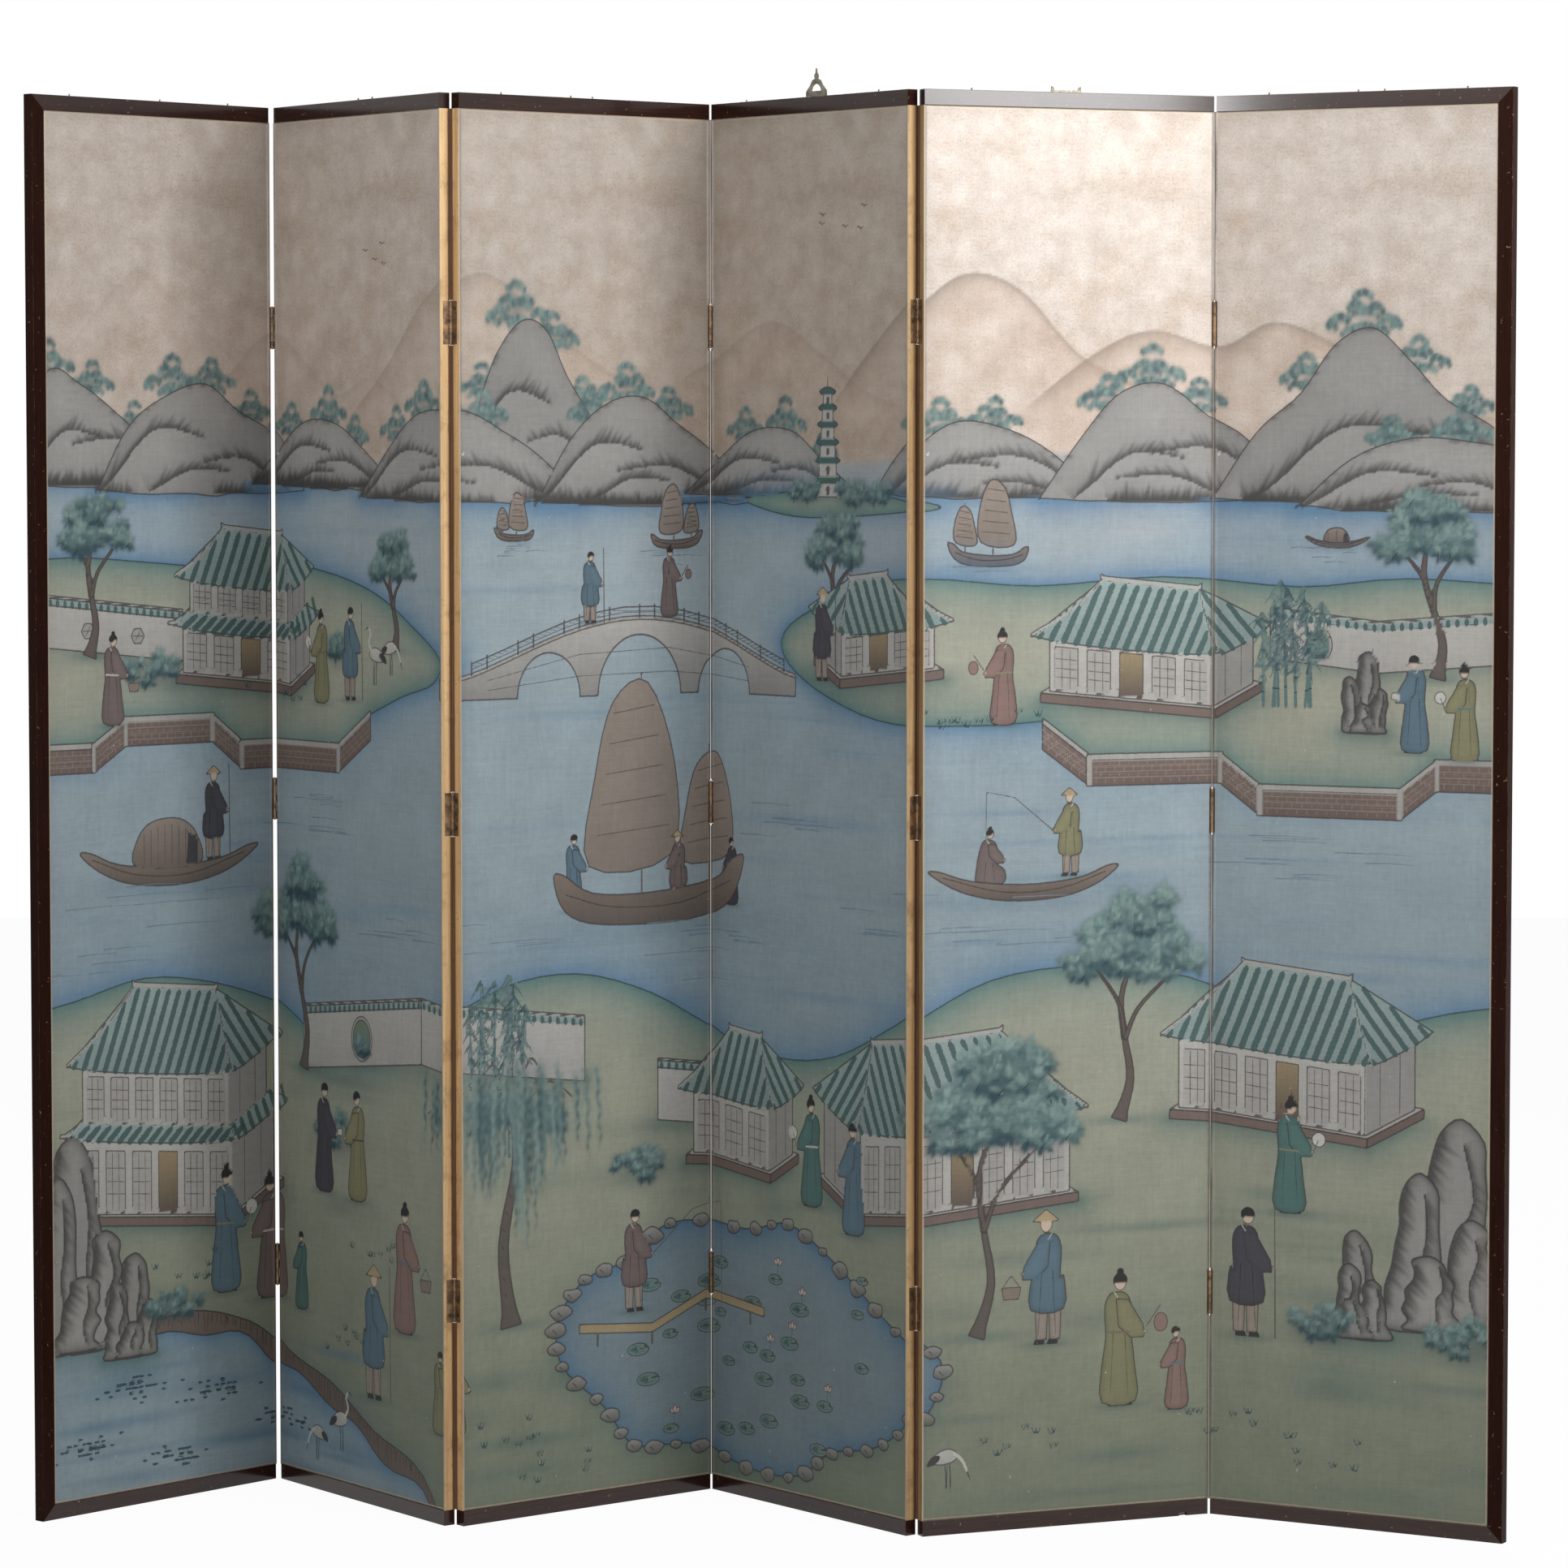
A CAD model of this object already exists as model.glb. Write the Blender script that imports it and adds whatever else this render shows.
# A six-panel folding screen: painted paper on latticed panels, dark lacquered rails, gilded edges and
# small brass hinges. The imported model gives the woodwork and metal; the painted faces are made here.
import math
import bpy
import numpy as np
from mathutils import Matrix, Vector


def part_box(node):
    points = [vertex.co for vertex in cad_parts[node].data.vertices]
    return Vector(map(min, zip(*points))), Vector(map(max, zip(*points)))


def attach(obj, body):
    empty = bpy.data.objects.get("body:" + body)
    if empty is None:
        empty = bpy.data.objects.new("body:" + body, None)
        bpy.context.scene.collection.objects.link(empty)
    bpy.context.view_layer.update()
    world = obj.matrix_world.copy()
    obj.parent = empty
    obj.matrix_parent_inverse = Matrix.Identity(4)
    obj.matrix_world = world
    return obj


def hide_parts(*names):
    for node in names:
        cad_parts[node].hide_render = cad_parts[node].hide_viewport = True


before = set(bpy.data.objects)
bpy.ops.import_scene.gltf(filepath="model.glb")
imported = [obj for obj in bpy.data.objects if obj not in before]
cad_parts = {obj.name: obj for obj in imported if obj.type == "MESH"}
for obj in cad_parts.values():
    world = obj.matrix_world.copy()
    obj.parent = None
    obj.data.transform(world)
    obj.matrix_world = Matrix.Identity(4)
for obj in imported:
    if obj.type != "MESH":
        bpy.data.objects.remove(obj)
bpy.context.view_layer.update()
print("frame loaded:", len(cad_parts), "pieces")

# What the panels measure, in millimetres, as in the CAD
panelWide, panelHigh, panelDeep, barWide, stripLip, faceIn = 406.0, 1829.0, 16.0, 20.0, 2.1, 1.0
panelCount = 6


def linear(r, g, b):  # a colour picked by eye, 0 to 255, as Blender's linear light
    c = np.array([r, g, b], np.float64) / 255.0
    return np.where(c <= 0.04045, c / 12.92, ((c + 0.055) / 1.055) ** 2.4)


# The painted scroll runs over all six panels: u along the panels, v up from the floor, both in mm
scrollLook = {
    "cell": 2.85, "hem": (0.1, 1.3, 2.2), "hemEnd": 2.9, "layers": 4, "lineLayers": 2, "lineReach": 6.0,
    "seed": 11, "dulled": (0.0, 0.0, 0.32, 0.45, 0.0, 0.0), "tarnish": linear(136, 123, 102),
    "farWarm": linear(186, 152, 128), "skyLow": 1320, "skyFade": 300, "shore": 1375, "waterFade": 1100}
# How far outside and inside its edge a shape keeps its own layer, and how far in the layer ends
edgeOut, edgeIn, far = 4, 4.5, 9.0

shade = {
    "ink": linear(62, 58, 58), "leafMetal": linear(188, 177, 167), "leafLow": linear(190, 171, 156),
    "farWash": linear(150, 136, 122), "hillDark": linear(100, 99, 97), "hillPale": linear(156, 154, 151),
    "water": linear(158, 172, 178), "waterDeep": linear(122, 144, 158), "waterLow": linear(124, 139, 146),
    "bank": linear(84, 124, 156), "grass": linear(162, 162, 146), "grassEdge": linear(88, 124, 122),
    "grassLow": linear(120, 128, 110), "wall": linear(178, 175, 170), "wallShade": linear(146, 144, 141),
    "tile": linear(146, 163, 160), "tileDark": linear(60, 86, 86), "ridge": linear(168, 167, 163),
    "brick": linear(114, 99, 93), "mortar": linear(140, 126, 118), "coping": linear(164, 161, 156),
    "leafDark": linear(46, 70, 78), "leafMid": linear(82, 112, 114), "leafPale": linear(134, 156, 150),
    "bark": linear(96, 88, 84), "timber": linear(130, 118, 109), "timberDark": linear(92, 82, 76),
    "mat": linear(138, 127, 118), "rockDark": linear(88, 87, 85), "rockPale": linear(150, 148, 144),
    "skin": linear(198, 178, 160), "hair": linear(40, 38, 40), "white": linear(192, 190, 184),
    "robeBlue": linear(92, 114, 127), "robeOlive": linear(130, 128, 99), "robePlum": linear(114, 101, 99),
    "robeDark": linear(70, 69, 76), "robeTeal": linear(82, 112, 108), "robeRose": linear(136, 112, 106),
    "lotus": linear(70, 98, 98), "bloom": linear(196, 160, 152), "straw": linear(170, 152, 120)}


def pairs(*xy):  # points from numbers that run x, y, x, y and so on
    return np.reshape(xy, (-1, 2))


def evenSteps(low, high):
    return np.linspace(low, high, int(round((high - low) / scrollLook["cell"])) + 1)


def columns(n):
    # The grid of panel n along u: even steps between the borders, and close ones where the paper is
    # turned over a strip
    barred = (n == 1, n == panelCount)
    left, right = (barWide if bar else scrollLook["hemEnd"] for bar in barred)
    first, last = (np.array([] if bar else scrollLook["hem"]) for bar in barred)
    x = np.concatenate([first, evenSteps(left, panelWide - right), panelWide - last[::-1]])
    return x + (n - 1) * panelWide


columnSets = [columns(n) for n in range(1, panelCount + 1)]
uGrid = np.concatenate(columnSets)
vGrid = evenSteps(barWide, panelHigh - barWide)
gridShape = (len(vGrid), len(uGrid))
layers, lineLayers = scrollLook["layers"], scrollLook["lineLayers"]
scrollWide = panelWide * panelCount
scroll = {
    "wash": np.zeros(gridShape + (3,)), "bare": np.ones(gridShape),
    "fill": np.zeros((layers,) + gridShape + (3,)), "depth": np.full((layers,) + gridShape, -far),
    "rim": np.zeros((layers,) + gridShape),
    "side": np.full((lineLayers,) + gridShape, scrollLook["lineReach"]),
    "half": np.full((lineLayers,) + gridShape, -far), "hue": np.zeros((lineLayers,) + gridShape + (3,))}


def part(points, pad):  # the piece of the grid round some points: rows, columns, and its u and v
    low, high = np.min(points, 0) - pad, np.max(points, 0) + pad
    c = np.searchsorted(uGrid, [low[0], high[0]])
    r = np.searchsorted(vGrid, [low[1], high[1]])
    return slice(*r), slice(*c), uGrid[None, c[0]:c[1]], vGrid[r[0]:r[1], None]


def rounded(points, steps=5, closed=True):
    # A curve through every point: each span is the cubic whose ends follow the neighbouring points
    p = np.asarray(points, float)
    if closed:
        p = np.vstack([p[-1:], p, p[:2]])
    else:
        p = np.vstack([2 * p[:1] - p[1:2], p, 2 * p[-1:] - p[-2:-1]])
    t = np.linspace(0, 1, steps, endpoint=False)[None, :, None]
    a, b, c, d = (p[i:len(p) - 3 + i, None] for i in range(4))
    q = 0.5 * (2 * b + (c - a) * t + (2 * a - 5 * b + 4 * c - d) * t ** 2 + (3 * b - a - 3 * c + d) * t ** 3)
    q = q.reshape(-1, 2)
    return q if closed else np.vstack([q, p[-2]])


def wobble(points, size, seed):  # moves the points of a line a little, for a drawn look
    return np.asarray(points, float) + np.random.default_rng(seed).normal(0, size, np.shape(points))


def insideDepth(points, u, v):
    # Distance to the nearest side of a closed outline, counted positive inside it
    best = np.full(np.broadcast(u, v).shape, 1e9)
    inside = np.zeros(best.shape, bool)
    for (ax, ay), (bx, by) in zip(points, np.roll(points, -1, 0)):
        ex, ey = bx - ax, by - ay
        t = np.clip(((u - ax) * ex + (v - ay) * ey) / (ex * ex + ey * ey + 1e-9), 0, 1)
        best = np.minimum(best, (u - ax - ex * t) ** 2 + (v - ay - ey * t) ** 2)
        if ay != by:
            inside ^= ((ay > v) != (by > v)) & (u < ex * (v - ay) / ey + ax)
    return np.sqrt(best) * np.where(inside, 1, -1)


def layShape(rows, cols, depth, colour, rim=1.0):
    # Puts a shape over what is painted: near its edge it keeps its own layer, with the depth inside
    # it, so the edge stays sharp between grid points, and further in it becomes the plain wash
    near = depth > -edgeOut
    if not near.any():
        return
    band = near & (depth < far)
    used = [k for k in range(layers) if (scroll["depth"][k, rows, cols][band] > -edgeOut).any()]
    layer = min(used[-1] + 1 if used else 0, layers - 1)
    colour = np.broadcast_to(colour, depth.shape + (3,))
    old = scroll["depth"][layer, rows, cols]
    take = near & ((depth > old) | (depth > 0))
    scroll["fill"][layer, rows, cols][take] = colour[take]
    scroll["rim"][layer, rows, cols][take] = np.where(depth < edgeIn, rim, 0)[take]
    old[take] = depth[take]
    under, deep = depth > edgeIn, depth > far
    scroll["wash"][rows, cols][under] = colour[under]
    scroll["bare"][rows, cols][under] = 0
    for k in range(layers):
        scroll["depth"][k, rows, cols][deep if k == layer else under] = -far
    for k in range(lineLayers):
        half = scroll["half"][k, rows, cols]
        half[near] = np.minimum(half, -depth)[near]


def shape(points, colour, rim=1.0, edge=None, edgeReach=10.0, down=None):
    # A filled outline. edge is a second colour that fades inwards, down one that comes in downwards
    points = np.asarray(points, float)
    rows, cols, u, v = part(points, 5)
    depth = insideDepth(points, u, v)
    if down is not None:
        low, high = points[:, 1].min(), points[:, 1].max()
        colour = mixIn(colour, down, np.clip((high - v) / (high - low), 0, 1) + 0 * u)
    if edge is not None:
        colour = mixIn(colour, edge, np.exp(-np.maximum(depth, 0) / edgeReach))
    layShape(rows, cols, depth, colour, rim)


def mixIn(colour, other, amount):
    return colour + (np.asarray(other) - colour) * np.asarray(amount)[..., None]


def tint(rows, cols, amount, colour, bareTo=None):
    # A thin wash over everything painted so far in a piece of the grid
    scroll["wash"][rows, cols] = mixIn(scroll["wash"][rows, cols], colour, amount)
    for k in range(layers):
        scroll["fill"][k, rows, cols] = mixIn(scroll["fill"][k, rows, cols], colour, amount)
    if bareTo is not None:
        bare = scroll["bare"][rows, cols]
        scroll["bare"][rows, cols] = bare + (bareTo - bare) * amount


def cover(rows, cols, amount, colour):  # a wash that also hides the lines below it as it thickens
    tint(rows, cols, amount, colour, 0.0)
    scroll["rim"][:, rows, cols] *= 1 - amount
    half = scroll["half"][:, rows, cols]
    half += np.minimum(-3 - half, 0) * amount


def softSpot(u0, v0, ru, rv, colour, amount):  # a round wash that fades outwards
    rows, cols, u, v = part([(u0 - ru * 2, v0 - rv * 2), (u0 + ru * 2, v0 + rv * 2)], 0)
    tint(rows, cols, amount * np.exp(-((u - u0) / ru) ** 2 - ((v - v0) / rv) ** 2), colour)


def line(points, half, colour, end=None, layer=0):
    # A brush line: at each grid point the signed distance to the nearest line and the brush's half
    # width there, which runs from half to end and shrinks away past the tips
    points = np.asarray(points, float)
    reach = scrollLook["lineReach"]
    rows, cols, u, v = part(points, reach)
    best = np.full(np.broadcast(u, v).shape, 1e9)
    side, width = best.copy(), best.copy()
    end = half if end is None else end
    spans = len(points) - 1
    for i in range(spans):
        (ax, ay), (bx, by) = points[i], points[i + 1]
        ex, ey = bx - ax, by - ay
        long = np.hypot(ex, ey) + 1e-9
        free = ((u - ax) * ex + (v - ay) * ey) / long ** 2
        t = np.clip(free, 0, 1)
        gap = np.hypot(u - ax - ex * t, v - ay - ey * t)
        over = np.zeros_like(gap)
        if i == 0:
            over = np.maximum(over, -free * long)
        if i == spans - 1:
            over = np.maximum(over, (free - 1) * long)
        take = gap < best
        best = np.where(take, gap, best)
        cross = ex * (v - ay) - ey * (u - ax)
        side = np.where(take, np.where(cross < 0, -gap, gap), side)
        width = np.where(take, half + (end - half) * (i + t) / spans - over, width)
    oldSide, oldHalf = scroll["side"][layer, rows, cols], scroll["half"][layer, rows, cols]
    take = (best < reach) & (best - width < np.abs(oldSide) - oldHalf)
    oldSide[take], oldHalf[take] = side[take], width[take]
    scroll["hue"][layer, rows, cols][take] = colour


def arc(centre, ru, rv, turn=12):  # points round an ellipse: at so many even angles, or at given ones
    turn = np.linspace(0, 2 * np.pi, turn + 1)[:-1] if np.isscalar(turn) else turn
    return np.stack([centre[0] + ru * np.cos(turn), centre[1] + rv * np.sin(turn)], 1)


def upright(a, b, low, high):  # the four corners of a band that stands on the line from a to b
    return np.array([a + (0, low), b + (0, low), b + (0, high), a + (0, high)])


def placer(u0, v0, size, flip=1):
    # Gives the function that puts points, as x, y, x, y and so on in shares of a motif's size, on the
    # scroll. flip is -1 for a motif that looks the other way
    def at(*xy):
        places = np.reshape(xy, (-1, 2)) * (flip * size, size) + (u0, v0)
        return places if len(places) > 1 else places[0]
    return at


def stem(spine, wide, rim, reach):  # bark along a curve, as wide to each side as given at each point
    along = np.gradient(spine, axis=0)
    across = np.stack([-along[:, 1], along[:, 0]], 1) / np.hypot(*along.T)[:, None] * wide[:, None]
    shape(np.vstack([spine + across, (spine - across)[::-1]]), shade["bark"], rim, edge=shade["timberDark"],
        edgeReach=reach)


def dabbed(colour, amount, dab, tone):  # lays one more dab of a tone over a wash and its amount
    return mixIn(colour, tone, dab), 1 - (1 - amount) * (1 - dab)


def clumps(u0, v0, ru, rv, count, size, seed, light=1.0):
    # Leaves in clumps of soft dabs that fan outwards. A dab is a bell of colour, stretched along its own
    # direction; each clump is dark at its heart and foot and paler towards its upper rim
    rng = np.random.default_rng(seed)
    angle, out = rng.uniform(0, 2 * np.pi, count), np.sqrt(rng.uniform(0, 1, count))
    us, vs = u0 + ru * out * np.cos(angle), v0 + rv * out * np.sin(angle)
    for i in np.argsort(vs)[::-1]:
        r = size * rng.uniform(0.8, 1.3)
        rows, cols, u, v = part([(us[i] - 2.1 * r, vs[i] - 1.9 * r), (us[i] + 2.1 * r, vs[i] + 1.9 * r)], 0)
        if u.size == 0 or v.size == 0:
            continue
        x0, y0 = u - us[i], v - vs[i]
        lift = np.clip((vs[i] - v0) / (rv + 1) * 0.22 + 0.42 + rng.uniform(-0.12, 0.16), 0, 1) * light
        amount = np.minimum(0.95, 1.15 * np.exp(-(x0 / (0.8 * r)) ** 2 - (y0 / (0.62 * r)) ** 2))
        colour = mixIn(shade["leafDark"], shade["leafMid"], np.clip(lift + y0 / (2 * r) + 0 * u, 0, 1))
        for k in range(13):
            a = rng.uniform(-0.7, np.pi + 0.7) if k % 4 else rng.uniform(np.pi, 2 * np.pi)
            d = r * rng.uniform(0.45, 1.05)
            x, y = x0 - d * np.cos(a), y0 - 0.8 * d * np.sin(a)
            across, along = -x * np.sin(a) + y * np.cos(a), x * np.cos(a) + y * np.sin(a)
            dab = np.minimum(0.92, 1.4 * np.exp(-(along / (0.42 * r)) ** 2 - (across / (0.19 * r)) ** 2))
            pale = np.clip(lift + 0.42 * np.sin(a) + rng.uniform(-0.22, 0.25), 0, 1)
            colour, amount = dabbed(colour, amount, dab, mixIn(shade["leafDark"], shade["leafPale"], pale))
        cover(rows, cols, amount, colour)
        if rng.uniform() < 0.7:
            tip = (us[i] + rng.uniform(-0.4, 0.5) * r, vs[i] + 0.25 * r)
            line([(us[i] - 0.3 * r, vs[i] - 0.45 * r), tip], 1.1, shade["leafDark"] * 0.6, 0.3, layer=i % 2)


def tree(u0, v0, high, crown, seed, size=11.0, lean=0.0):
    # A leaning trunk that forks, then a crown of clumps; crown is its half width
    top = v0 + high
    mid = (u0 + lean * 0.4, v0 + high * 0.45)
    limbs = [
        ((u0, v0), mid, 7),
        (mid, (u0 + lean, top - crown * 0.2), 4.5),
        (mid, (u0 + lean - crown * 0.55, top - crown * 0.35), 3),
        (mid, (u0 + lean + crown * 0.5, top - crown * 0.5), 3)]
    softSpot(u0, v0, crown * 0.5, 7, shade["grassEdge"] * 0.7, 0.5)
    for i, (a, b, w) in enumerate(limbs):
        a, b = np.array(a), np.array(b)
        spine = rounded([a, (a + b) / 2 + ((-1) ** i * high * 0.05, 0), b], 4, False)
        wide = np.linspace(w, w * 0.55, len(spine))
        if i == 0:
            wide = wide + np.exp(-np.arange(len(spine)) * 1.1) * 5
        stem(spine, wide, 0.9, 3)
    rng = np.random.default_rng(seed)
    lobes = [(0, 0, 0.72, 0.5), (-0.55, -0.25, 0.45, 0.32), (0.55, -0.3, 0.45, 0.3), (0.1, 0.38, 0.5, 0.3)]
    places = [(u0 + lean + du * crown, top + dv * crown, crown * fu, crown * fv) for du, dv, fu, fv in lobes]
    for cu, cv, ru, rv in places:
        softSpot(cu, cv, ru * 0.7, rv * 0.7, shade["leafDark"], 0.45)
    for cu, cv, ru, rv in places:
        clumps(cu, cv, ru, rv * 0.9, int(ru * rv / size ** 2 * 1.9) + 2, size, rng.integers(1e6))


def bush(u0, v0, wide, seed, light=0.8):  # a low clump of leaves on the ground
    softSpot(u0, v0, wide * 0.8, wide * 0.3, shade["leafDark"], 0.4)
    clumps(u0, v0 + wide * 0.22, wide * 0.8, wide * 0.3, int(wide / 3.6), 9.5, seed, light)


def pineOnHill(u0, v0, high, seed):
    # A small hill pine, broader than high: a low dome and arms that reach out and droop at their tips
    rng = np.random.default_rng(seed)
    high = high * 0.84
    softSpot(u0, v0 + high * 0.4, high * 0.22, high * 0.3, shade["leafDark"], 0.6)
    arms = ((0.7, 0.3, 0.1), (0.5, 0.38, 0.16), (0.24, 0.16, 0.2))
    levels = [(side * x, y, w) for side in (-1, 1) for x, y, w in arms]
    levels += [(0, 0.2, 0.24), (-0.22, 0.6, 0.18), (0.24, 0.58, 0.16), (0, 0.48, 0.26), (0, 0.88, 0.2)]
    for x, y, w in levels:
        softSpot(u0 + high * x, v0 + high * y, high * w * 0.8, high * 0.09, shade["leafMid"] * 0.8, 0.7)
    for x, y, w in levels:
        x, y = x + rng.uniform(-0.06, 0.06), y + rng.uniform(-0.05, 0.05)
        tuft(u0 + high * x, v0 + high * y, high * w * rng.uniform(0.85, 1.2), high * 0.1, rng)


def tuft(cu, cv, w, h, rng):  # a level of needles: soft upright dabs along a slight arch
    rows, cols, u, v = part([(cu - w - 6, cv - 3 * h), (cu + w + 6, cv + 3 * h)], 0)
    if u.size == 0 or v.size == 0:
        return
    amount, colour = np.zeros(np.broadcast(u, v).shape), shade["leafMid"]
    for f in np.linspace(-1, 1, 9):
        x, y = u - cu - f * w, v - cv - h * (0.5 - 1.2 * f * f) - rng.uniform(-1.5, 1.5)
        dab = np.minimum(0.9, 1.4 * np.exp(-((x - 0.25 * f * y) / 3.0) ** 2 - (y / (0.75 * h)) ** 2))
        tone = mixIn(shade["leafDark"], shade["leafPale"], rng.uniform(0.1, 0.95))
        colour, amount = dabbed(colour, amount, dab, tone)
    cover(rows, cols, amount, colour)


def crease(spine, lean, long, tone, seed, depth=0.75, start=1.0, end=0.15):
    # A dark fold in stone: soft teeth that stand on a line, lean one way and fade towards their tips.
    # Their length runs from start to end of the full length along the line
    rng = np.random.default_rng(seed)
    spine = np.asarray(spine, float)
    rows, cols, u, v = part(spine, long * 1.5)
    if u.size == 0 or v.size == 0:
        return
    length = np.concatenate([[0], np.cumsum(np.hypot(*np.diff(spine, axis=0).T))])
    s = np.cumsum(rng.uniform(4, 11, int(length[-1] / 4) + 1))
    s = s[s < length[-1]]
    share = s / length[-1]
    size = long * (start + (end - start) * share) * rng.uniform(0.4, 1.25, len(s)) + 4
    px, py = np.interp(s, length, spine[:, 0]), np.interp(s, length, spine[:, 1])
    way = np.arctan2(lean[1], lean[0]) + rng.normal(0, 0.16, len(s))
    x, y = u[..., None] - px, v[..., None] - py
    along, across = (x * np.cos(way) + y * np.sin(way)) / size, np.abs(y * np.cos(way) - x * np.sin(way))
    left = np.clip(1 - np.maximum(along, 0), 0, 1)
    tooth = left ** 0.9 * np.exp(-(across / (1.2 + 3.6 * left)) ** 2) * (along > -2.5 / size)
    # the wash beside the line: lift is how far a point lies to the side the teeth lean to
    ex, ey = np.diff(spine, axis=0).T + 1e-6
    fromU, fromV = u[..., None] - spine[:-1, 0], v[..., None] - spine[:-1, 1]
    along = np.clip((fromU * ex + fromV * ey) / (ex ** 2 + ey ** 2), 0, 1)
    gapU, gapV = fromU - along * ex, fromV - along * ey
    near = np.argmin(np.hypot(gapU, gapV), -1)[..., None]

    def nearest(values):  # what holds for the span of the line that is nearest to each point
        return np.take_along_axis(values + 0 * gapU, near, -1)[..., 0]
    across = nearest(ex * gapV - ey * gapU) / nearest(np.hypot(ex, ey))
    lift = across * np.sign(nearest(ex * lean[1] - ey * lean[0]))
    share = (near[..., 0] + nearest(along)) / len(ex)
    within = np.abs(np.hypot(nearest(gapU), nearest(gapV)) - np.abs(across)) < 1.0
    fade = np.clip(start + (end - start) * share, 0, 1) * within
    soft = 0.6 * np.exp(-np.maximum(lift, 0) / (long * 0.3)) * fade
    tint(rows, cols, np.minimum(depth, 1 - (1 - tooth.max(-1)) * (1 - soft)) * (lift > -1.0), tone)


def hill(points, seed, foot, dark=1.0, mounds=3):
    # A hill: a smooth ridge, and below it the crests of nearer mounds. Each crest starts at a side of
    # the hill, rises and runs out into the slope; dark teeth stand behind it. The foot ends in teeth
    # above a line of dark blue water
    rng = np.random.default_rng(seed)
    ends = [(points[0][0] - 6, foot - 3)], [(points[-1][0] + 6, foot - 3)]
    ridge = rounded(wobble(np.vstack([ends[0], points[1:-1], ends[1]]), 1.5, seed), 6, False)
    left, right = ridge[0, 0], ridge[-1, 0]
    wide = right - left
    t = np.linspace(1, 0, 12)[:, None]
    water = np.hstack([left + wide * t, foot - 7 * np.sin(np.pi * t) + rng.normal(0, 1.2, (12, 1))])
    outline = np.vstack([ridge, rounded(water, 3, False)])
    rows, cols, u, v = part([(left - 30, foot - 70), (right + 30, foot + 8)], 0)
    fade = np.clip(np.minimum(u - left + 24, right + 24 - u) / 30, 0, 1)
    wet = 0.8 * fade * np.exp(-np.maximum(foot - 6 - v, 0) / 17) * (v < foot + 3)
    tint(rows, cols, wet, shade["bank"])
    pale, deep = shade["hillPale"] * dark, shade["hillDark"] * dark
    shape(outline, pale, 0.85, edge=mixIn(pale, deep, 0.35), edgeReach=9)
    high = lambda x: np.interp(x, ridge[:, 0], ridge[:, 1]) - foot
    side = rng.choice([-1, 1])
    for i in range(mounds):
        side = -side
        from0 = left if side > 0 else right
        begin = from0 + side * wide * (0.03 + 0.27 * i / mounds) * rng.uniform(0.8, 1.2)
        reach = wide * rng.uniform(0.42, 0.6) * (1 - 0.12 * i)
        s = np.linspace(0, 1, 7)
        xs = begin + side * reach * s
        top = high(begin + side * reach * 0.55) * (0.72 - 0.24 * i) * rng.uniform(0.9, 1.05)
        low = max(high(begin) * 0.25, 2) if i == 0 else 2
        fall = top * 0.22 * np.maximum(s - 0.62, 0) ** 1.5 * 3
        ys = foot - 3 + low + (top - low) * np.sin(np.pi * 0.5 * np.minimum(s / 0.62, 1)) ** 1.3 - fall
        ys = np.minimum(ys, foot + high(xs) - 6)
        crest = rounded(np.stack([xs, ys], 1), 4, False)
        crease(crest, (0.75 * side, 1.0), 18 + top * 0.38, deep * 0.42, seed * 9 + i, 0.88)
        line(crest[:int(len(crest) * 0.8)], 0.75, deep * 0.62, 0.2, layer=i % 2)
    base = np.stack([left + wide * t[::-1, 0], foot - 6 * np.sin(np.pi * t[::-1, 0])], 1)
    for k in range(6):
        a, b = sorted(rng.integers(0, 12, 2))
        if b - a > 1:
            lean = (rng.uniform(-0.7, 0.7), 1.0)
            crease(base[a:b + 1], lean, 24, deep * 0.42, seed * 17 + k, 0.85, 1.0, 0.4)
    # where a side of the ridge meets what is behind it, a few dark touches lie on the line
    for x in rng.uniform(left + wide * 0.08, right - wide * 0.08, int(wide / 16)):
        softSpot(x, foot + high(x) - 2, 4.5, 2.2, deep * 0.7, 0.5)


def farRange(points, seed, strength=1.0):
    # A far range on the leaf: a soft brown line, and a wash below it that is broad where it runs uphill
    ridge = rounded(wobble(points, 3, seed), 8, False)
    rows, cols, u, v = part(ridge + (0, -60), 180)
    high = np.interp(u[0], ridge[:, 0], ridge[:, 1], left=-999, right=-999)[None, :]
    slope = np.gradient(high[0])[None, :]
    below = high - v
    ends = np.clip(np.minimum(u - ridge[0, 0], ridge[-1, 0] - u) / 60, 0, 1)
    broad = 7 + 9 * np.clip(0.6 + 0.7 * slope + 0.4 * np.sin(u / 33 + seed), 0, 1.6)
    amount = np.where(below > -1, 0.72 * np.exp(-np.maximum(below, 0) / broad), 0)
    amount = amount * ends * strength * np.clip((below + 2) / 3, 0, 1)
    warm = 0.42 * strength * ends * np.clip(below / 3, 0, 1) * np.exp(-np.maximum(below, 0) / 110)
    tint(rows, cols, warm, scrollLook["farWarm"], 0.55)
    tint(rows, cols, amount, shade["farWash"] * 0.72, 0.1)


def land(points, top=None, rim=0.9, reach=24, low=None):
    # Green ground with a darker, bluer edge; low is what its colour becomes at its foot
    shape(points, shade["grass"] if top is None else top, rim, edge=shade["grassEdge"], edgeReach=reach,
        down=low)


def groundShade(points, reach, strength=0.75):  # a dark green wash on the ground round an outline
    points = np.asarray(points, float)
    rows, cols, u, v = part(points, reach * 3)
    below = np.clip((points[:, 1].mean() - v) / 30 + 0.75, 0.25, 1)
    outside = np.maximum(-insideDepth(points, u, v), 0)
    tint(rows, cols, strength * below * np.exp(-outside / reach), shade["grassEdge"] * 0.68)


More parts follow.
